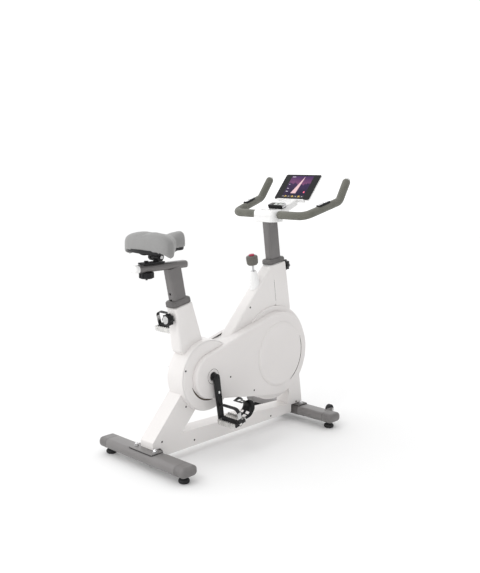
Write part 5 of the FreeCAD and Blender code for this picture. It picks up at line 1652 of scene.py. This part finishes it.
SEGMENTS = {"0": "abcdef", "1": "bc", "2": "abged", "3": "abgcd", "4": "fgbc", "5": "afgcd",
            "6": "afgedc", "7": "abc", "8": "abcdefg", "9": "abcdfg"}
SEGMENT_BARS = {"a": (0, 1, 0), "b": (0.5, 0.5, 1), "c": (0.5, -0.5, 1), "d": (0, -1, 0),
                "e": (-0.5, -0.5, 1), "f": (-0.5, 0.5, 1), "g": (0, 0, 0)}


def digits(name, text, centre, right, up, out, tall, finish):
    """Seven-segment figures, lying on a face."""
    points, faces = [], []
    pitch = tall * 0.78
    thin = tall * 0.085
    for place, figure in enumerate(text):
        middle = centre + right * ((place - (len(text) - 1) / 2) * pitch)
        for bar in SEGMENTS[figure]:
            a, b, standing = SEGMENT_BARS[bar]
            at = middle + right * (a * tall * 0.5) + up * (b * tall * 0.5)
            long, wide = tall * 0.21, thin
            if standing:
                long, wide = wide, long
            start = len(points)
            for lift in (0.0, 0.18):
                for sx, sy in ((-1, -1), (1, -1), (1, 1), (-1, 1)):
                    points.append(at + right * (sx * long) + up * (sy * wide) + out * lift)
            faces += [(start, start + 3, start + 2, start + 1),
                      (start + 4, start + 5, start + 6, start + 7)]
            for step in range(4):
                after = (step + 1) % 4
                faces.append((start + step, start + after, start + 4 + after, start + 4 + step))
    return new_mesh(name, points, faces, finish)


def tablet():
    """A slate with a rounded rim, its glass, picture, lower bar and marks."""
    lean_back = Matrix.Rotation(math.radians(40.3), 3, "Y")
    foot = Vector((377, 0, 977))
    up = lean_back @ ALONG_Z
    right = ALONG_Y * -1
    turn = Matrix((right, up, right.cross(up))).transposed()
    out = turn @ ALONG_Z
    centre = foot + up * 69.5
    case = slab("case", 200, 139, rim_levels(-4, 2.6, 2.4, 5), centre, turn, "trim", 9)
    glass = slab("glass", 196.4, 135.4, [(1.2, 0), (3.6, 0), (3.9, 0.4)], centre, turn, "glass",
                 7.6)
    parts = [soften(case, 30), soften(glass, 30)]
    screen = flat_panel("screen", centre + up * 6.5 + out * 3.98, right, up, 122, 106, "screen")
    bar = flat_panel("bar", centre - up * 52.5 + out * 3.98, right, up, 122, 13, "bar")
    parts += [screen, bar]
    row = centre - up * 52.5 + out * 4.0
    for shift, text in ((-40, "24"), (-4, "135"), (34, "08")):
        parts.append(digits("figures", text, row + right * shift, right, up, out, 6.2, "yellow"))
    for shift in (-54, -22, 16, 52):
        parts.append(flat_panel("mark", row + right * shift + out * 0.05, right, up, 5.5, 1.6,
                                "pale"))
    button = lathe("button", [(0, 0), (4.2, 0), (4.2, 0.2), (0, 0.2)],
                   centre + right * 50 - up * 28 + out * 4.1, out, "pink", 28)
    for shift, level, wide in ((-47, 54, 18), (-52, 12, 5), (-50, -10, 8), (-47, -26, 13)):
        parts.append(flat_panel("mark", centre + right * shift + up * level + out * 4.1, right, up,
                                wide, 2.2, "pale"))
    lens = lathe("lens", [(0, 3.9), (1.7, 3.9), (1.7, 4.0), (0, 4.0)], centre + right * 91, out,
                 "gap", 20)
    parts += [soften(button), soften(lens)]
    fit(join("tablet_slate", parts), "tablet_body", "screen_black", "tablet")


def flat_panel(name, centre, right, up, wide, tall, finish):
    """A thin flat panel with its picture spread over it."""
    out = right.cross(up)
    points = [centre + right * (a * wide / 2) + up * (b * tall / 2) + out * lift
              for lift in (0.0, 0.08) for a, b in ((-1, -1), (1, -1), (1, 1), (-1, 1))]
    faces = [(3, 2, 1, 0), (4, 5, 6, 7), (0, 1, 5, 4), (1, 2, 6, 5), (2, 3, 7, 6), (3, 0, 4, 7)]
    panel = new_mesh(name, points, faces, finish)
    layer = panel.data.uv_layers.new(name="picture")
    for loop in panel.data.loops:
        spot = panel.data.vertices[loop.vertex_index].co / MM - centre
        layer.data[loop.index].uv = (spot.dot(right) / wide + 0.5, spot.dot(up) / tall + 0.5)
    return panel


def tray():
    """The white tray: back plate, lip and arm, their edges rounded."""
    lean_back = Matrix.Rotation(math.radians(40.3), 3, "Y")
    foot = Vector((377, 0, 977))
    out, up = lean_back @ -ALONG_X, lean_back @ ALONG_Z
    turn = Matrix((up, out.cross(up), out)).transposed()
    plate = slab("tray", 115, 150, rim_levels(-9.3, -4.3, 1.6, 4), foot + up * 54.5, turn, "trim",
                 12)
    lip = slab("lip", 20, 150, rim_levels(-5.3, -0.3, 1.4, 4), foot,
               Matrix((out, up.cross(out), up)).transposed(), "trim", 4)
    arm_points = [(250, 915), (250, 936), (320, 960), (369, 980), (381, 969.5), (386, 955),
                  (330, 934), (280, 915)]
    arm = prism("arm", arm_points, -34, 34, finish="trim")
    for level in (-34, 34):
        round_face_edges(arm, level, 5)
    paint(arm, "trim")
    stem = slab("way", 80.6, 112.6, [(-2, 0), (50.3, 0)], STEM_FOOT, Matrix.Identity(3),
                "trim",
                18)
    rest = Matrix.Rotation(math.radians(-18), 3, "Y")
    under = slab("way", 60, 90, [(-0.2, 0), (40, 0)], (288, 0, 948), rest, "trim", 6)
    combine(arm, [stem, under], "DIFFERENCE")
    slate = slab("way", 139.6, 210, [(-4.4, 0), (4.4, 0)], foot + up * 69.6, turn, "trim", 2)
    combine(plate, [slate], "DIFFERENCE")
    combine(plate, [lip, arm], "UNION")
    tidy_mesh(plate)
    soften(plate, 30)
    plate.name = "tablet_tray_moulding"
    fit(plate, "handlebar", "trim_white", "tablet_tray")


# ---------------------------------------------------------------- cranks and pedals

PEDAL_TIP = Matrix.Rotation(math.radians(-15), 3, "Y")


def crank_arms():
    """Tapered arms with rounded edges, a pressed channel, a hub and a pale round badge."""
    for side_name, side in SIDES.items():
        pedal = joint_spot(side_name + "_pedal_spin")
        hub = Vector((CRANK.x, 0, CRANK.z))
        along = (Vector((pedal.x, 0, pedal.z)) - hub).normalized()
        across = ALONG_Y.cross(along) * side
        turn = Matrix((along, across, along.cross(across))).transposed()
        if (turn @ ALONG_Z).y * side < 0:
            turn = Matrix((along, -across, -along.cross(across))).transposed()
        loops = []
        for up, inset in rim_levels(0, 14, 2.6, 5):
            loops.append([hub + ALONG_Y * side * 90 + turn @ Vector((a, b, up))
                          for a, b in arm_outline(inset)])
        arm = loft(side_name + "_arm", loops, "crank")
        channel = slab("channel", 74, 9, [(12.9, 1.4), (15, 0)], hub + ALONG_Y * side * 90
                       + turn @ Vector((92, 0, 0)), turn, "crank", 4.4)
        combine(arm, [channel], "DIFFERENCE")
        parts = [soften(arm, 30)]
        hub_start = hub + ALONG_Y * side * 81.2
        parts.append(soften(lathe("hub", [(10.2, 0), (14.2, 0), (15, 0.8), (15, 10), (10.2, 10),
                                          (10.2, 0)], hub_start, ALONG_Y * side, "crank", 56)))
        badge = hub + ALONG_Y * side * 103.6 + turn @ Vector((62, 0, 0))
        parts.append(soften(lathe("badge", [(0, 0), (5.6, 0), (5.6, 0.5), (5.0, 0.8), (0, 0.85)],
                                  badge - ALONG_Y * side * 0.5, ALONG_Y * side, "trim", 40)))
        fit(join(side_name + "_crank_arm", parts), "crankset", "crank_black", side_name + "_crank")
    caps = []
    for side in (-1, 1):
        end = Vector((CRANK.x, side * 104.0, CRANK.z))
        caps.append(soften(lathe("bolt_cap", [(0, 0), (8.2, 0), (9.4, 0.4), (9.4, 1.3), (8.4, 2.0),
                                              (3.2, 2.1), (3.2, 0.9), (0, 0.9)], end,
                                              ALONG_Y * side,
                                 "black", 40), 30))
    fit(join("crank_dust_caps", caps), "crankset", "crank_black")


def arm_outline(inset):
    """The arm seen from its side: a wide hub end that narrows to the pedal end."""
    points = []
    for centre, radius, start, end in ((170, 12.2, -88, 88), (0, 13.8, 92, 268)):
        for step in range(17):
            angle = math.radians(start + (end - start) * step / 16)
            points.append((centre + (radius - inset) * math.cos(angle),
                           (radius - inset) * math.sin(angle)))
    return points


def pedal_body(side_name):
    """Two toothed alloy plates on a barrel, their webs, bolts and outer cap."""
    side = SIDES[side_name]
    spot = joint_spot(side_name + "_pedal_spin")
    axle = Vector((spot.x, 0, spot.z))
    start = 108.0
    parts = []

    def at(fore, out, up):
        return axle + ALONG_Y * side * (start + out) + PEDAL_TIP @ Vector((fore, 0, up))

    barrel = [(5.06, 0.3), (9, 0.3), (11.2, 2), (11.2, 10), (9.4, 14), (9.4, 82), (11.2, 86),
              (11.2, 95.6), (5.06, 95.6), (5.06, 0.3)]
    parts.append(soften(lathe("barrel", barrel, at(0, 0, 0), ALONG_Y * side, "black", 40)))
    for end in (-1, 1):
        loops = []
        for lift in (-2.0, 2.0):
            ring = []
            for out, up in toothed_edge():
                ring.append(at(end * 30 + lift, out, up))
            loops.append(ring)
        parts.append(soften(loft("tooth_plate", loops, "alloy"), 25))
    for out in (0.4, 91.0):
        web = []
        for lift in (0.0, 4.6):
            ring = [at(a, out + lift, b) for a, b in round_rect(58, 13.2, 4)]
            web.append(ring)
        parts.append(soften(loft("web", web, "alloy" if out < 50 else "black"), 30))
    cap_profile = [(0, 0), (8.4, 0), (8.4, 1.2), (7, 2.2), (0, 2.3)]
    parts.append(soften(lathe("cap", cap_profile, at(0, 95.6, 0), ALONG_Y * side, "alloy", 40),
                        30))
    for end in (-1, 1):
        for level in (14.0, 82.0):
            parts.append(soften(lathe("bolt", [(0, 0), (3.4, 0), (3.4, 1.2), (2.6, 1.9), (0, 2.0)],
                                      at(end * 32.0, level, 0), PEDAL_TIP @ ALONG_X * end,
                                      "plated",
                                      6), 20))
    whole = join(side_name + "_pedal_plates", parts)
    fit(whole, side_name + "_pedal_body", "pedal_alloy", side_name + "_pedal")


def toothed_edge():
    """A pedal plate seen from the front: (distance out, height), with teeth top and bottom."""
    upper, lower = [], []
    teeth = 8
    for number in range(teeth):
        middle = 6 + number * 12
        for shift, rise in ((-4.2, 8.6), (-2.4, 12), (2.4, 12), (4.2, 8.6)):
            upper.append((middle + shift, rise))
            lower.append((middle + shift, -rise))
    return [(1.0, -7.6)] + lower + [(95.0, -7.6), (95.0, 7.6)] + upper[::-1] + [(1.0, 7.6)]


def toe_cage(side_name):
    """A moulded toe clip that curves up over the foot, its windows, and a strap with a buckle."""
    side = SIDES[side_name]
    spot = joint_spot(side_name + "_pedal_spin")
    axle = Vector((spot.x, 0, spot.z))

    def at(fore, out, up):
        return axle + ALONG_Y * side * (156 + out) + PEDAL_TIP @ Vector((fore, 0, up))

    path = smooth_path([(33.6, 0, -6), (74, 0, -2), (94, 0, 14), (96, 0, 34), (80, 0, 52),
                        (46, 0, 60)], 12, 6)
    path = resample([Vector(point) for point in path], 3.0)
    count = len(path)
    grid = []
    across = 20
    for number, centre in enumerate(path):
        share = number / (count - 1)
        half = 31.0 - 7.0 * max(0.0, share - 0.55) / 0.45 - 4.0 * max(0.0, 0.12 - share) / 0.12
        ahead = path[min(number + 1, count - 1)] - path[max(number - 1, 0)]
        ahead.normalize()
        inward = Vector((ahead.z, 0, -ahead.x))
        row = []
        for step in range(across + 1):
            reach = -1 + 2 * step / across
            cup = 13.0 * abs(reach) ** 4 * math.sin(math.pi * min(1.0, share * 0.9 + 0.1))
            point = centre - inward * (-cup)
            row.append((point.x, reach * half, point.z, inward))
        grid.append(row)
    cage = cage_skin(grid, count, across, at)
    strap = strap_loop(at)
    whole = join(side_name + "_toe_clip", [cage] + strap)
    fit(whole, side_name + "_pedal_body", "cage_black", side_name + "_toe_cage")


def window_here(row, column, count, across):
    """Whether a cell of the clip lies in one of its windows."""
    share = (row + 0.5) / count
    side = abs((column + 0.5) / across * 2 - 1)
    if 0.08 < share < 0.20 or 0.24 < share < 0.34:
        return 0.22 < side < 0.66
    if 0.74 < share < 0.90:
        return 0.12 < side < 0.6
    return False


def cage_skin(grid, count, across, at):
    points, faces = [], []
    thick = 2.4
    for lift in (0.0, thick):
        for row in grid:
            for x, y, z, inward in row:
                points.append(at(x - inward.x * lift, y, z - inward.z * lift))
    layer = count * (across + 1)
    cells = {}
    for row in range(count - 1):
        for column in range(across):
            cells[row, column] = not window_here(row, column, count, across)
    for (row, column), solid in cells.items():
        if not solid:
            continue
        a = row * (across + 1) + column
        b, c, d = a + 1, a + across + 2, a + across + 1
        faces += [(a, b, c, d), (a + layer, d + layer, c + layer, b + layer)]
        for near, far, beside in ((a, b, (row - 1, column)), (b, c, (row, column + 1)),
                                  (c, d, (row + 1, column)), (d, a, (row, column - 1))):
            if not cells.get(beside, False):
                faces.append((near, near + layer, far + layer, far))
    cage = new_mesh("clip", points, faces, "cage")
    step = cage.modifiers.new("round", "SUBSURF")
    step.levels = 1
    step.render_levels = 1
    settle(cage)
    return soften(cage, 60)


def strap_loop(at):
    """The strap round pedal and foot, with a sprung buckle on its outer side."""
    outline = round_rect(100.2, 76, 20, 8)
    parts = []
    loops = []
    for a, b in outline:
        loops.append((a, b + 24.6))
    rings = []
    for number, (out, up) in enumerate(loops):
        before = Vector((*loops[number - 1], 0))
        after = Vector((*loops[(number + 1) % len(loops)], 0))
        ahead = (after - before).normalized()
        away = Vector((ahead.y, -ahead.x, 0))
        ring = []
        for fore, lift in ((-8, -0.9), (8, -0.9), (8, 0.9), (-8, 0.9)):
            ring.append(at(fore, out + away.x * lift, up + away.y * lift))
        rings.append(ring)
    rings.append(rings[0])
    strap = loft("strap", rings, "rubber", caps=False)
    parts.append(soften(strap, 40))
    buckle = []
    for lift, inset in ((0.6, 1.2), (1.4, 0.4), (2.2, 0.0), (2.7, 0.9)):
        buckle.append([at(a, 50.1 + lift - 1.6, b + 34) for a, b in
                       round_rect(19 - 2 * inset, 26 - 2 * inset, 3)])
    parts.append(soften(loft("buckle", buckle, "plated"), 30))
    return parts


# ------------------------------------------------------ finishes on the frame's own parts

FRAME_FINISHES = {
    "main_frame": "steel_white", "bearings": "brushed", "drive_belt": "rubber",
    "drive_pulley": "brushed", "flywheel": "iron", "flywheel_axle": "brushed",
    "crank_spindle": "plated", "pedal_spindles": "plated", "magnet_bracket": "plated",
    "brake_rod": "brushed", "seat_post": "post", "handlebar_post": "post",
    "saddle_carriage": "black"}


def paint_frame():
    """The frame's own parts that show or hide inside keep their shapes and take a finish."""
    for name, finish in FRAME_FINISHES.items():
        node = frame["nodes"][name]
        node.data.materials.clear()
        node.data.materials.append(FINISHES[finish])
        soften(node, 30)
    welded = frame["nodes"]["main_frame"].data
    welded.materials.append(FINISHES["foot"])
    for face in welded.polygons:
        if face.center.z < 0.0725:
            face.material_index = 1


# ---------------------------------------------------------------- floor, light and camera

def plain_floor():
    """A pale flat sheet under the bike."""
    made = Finish("studio_sheet", Specular_IOR_Level=0.2)
    cloud = made.grain(0.9, 3.0)
    made.set(Base_Color=made.blend(made.spread(cloud, 0.3, 0.7, 0, 1), (0.93, 0.93, 0.93),
                                   (0.95, 0.95, 0.95)),
             Roughness=made.spread(cloud, 0.3, 0.7, 0.85, 0.95))
    mesh = bpy.data.meshes.new("studio_sheet")
    half = 9.0
    mesh.from_pydata([(-half, -half, -0.0005), (half, -half, -0.0005), (half, half, -0.0005),
                      (-half, half, -0.0005)], [], [(0, 1, 2, 3)])
    mesh.materials.append(made.material)
    sheet = bpy.data.objects.new("studio_sheet", mesh)
    bpy.context.scene.collection.objects.link(sheet)


def soft_light(name, spot, aim, size, power, colour=(1, 1, 1)):
    lamp = bpy.data.lights.new(name, "AREA")
    lamp.shape = "RECTANGLE"
    lamp.size, lamp.size_y = size
    lamp.energy = power
    lamp.color = colour
    holder = bpy.data.objects.new(name, lamp)
    bpy.context.scene.collection.objects.link(holder)
    holder.location = spot
    way = Vector(aim) - Vector(spot)
    holder.rotation_euler = way.to_track_quat("-Z", "Y").to_euler()
    return holder


def studio():
    world = bpy.data.worlds.new("studio_air")
    bpy.context.scene.world = world
    world.use_nodes = True
    air = Graph(world.node_tree)
    split = world.node_tree.nodes.new("ShaderNodeSeparateXYZ")
    air.feed(split.inputs[0], air.node("ShaderNodeTexCoord", output="Generated"))
    fore, across, up = (Output(air, socket) for socket in split.outputs)
    glow = fore * -0.13 + across * 0.42 + up * 0.03 + 1.06
    backdrop = world.node_tree.nodes["Background"]
    backdrop.inputs[0].default_value = (1.0, 1.0, 1.0, 1)
    air.feed(backdrop.inputs[1], glow)
    soft_light("key_light", (-2.6, -0.4, 2.5), (0, 0, 0.5), (0.7, 0.7), 11)
    scene = bpy.context.scene
    scene.view_settings.view_transform = "Standard"
    scene.view_settings.look = "None"
    scene.view_settings.exposure = 0.0


def camera():
    lens = bpy.data.cameras.new("camera")
    lens.lens = 50
    lens.sensor_width = 36
    holder = bpy.data.objects.new("camera", lens)
    bpy.context.scene.collection.objects.link(holder)
    holder.location = (-2.2634, -2.2574, 1.1497)
    way = Vector((0.0585, 0, 0.6334)) - Vector(holder.location)
    holder.rotation_euler = way.to_track_quat("-Z", "Y").to_euler()
    bpy.context.scene.camera = holder


# ---------------------------------------------------------------- the whole bike

for hand in SIDES:
    body_half(hand)
    drive_cover(hand)
    pedal_body(hand)
    toe_cage(hand)
head_hood()
cover_screw_heads()
stabilisers()
end_plugs()
levelling_feet()
transport_wheels()
dome_nuts()
collars()
lock_knobs()
wire_springs()
brake()
slide_tube_ends()
slide_knob()
clamp_cheeks()
saddle_rails()
saddle_pan()
saddle_cushion()
handlebar()
pulse_sensors()
stem_cover()
meter()
tablet()
tray()
crank_arms()
paint_frame()
plain_floor()
studio()
camera()

bpy.context.view_layer.update()
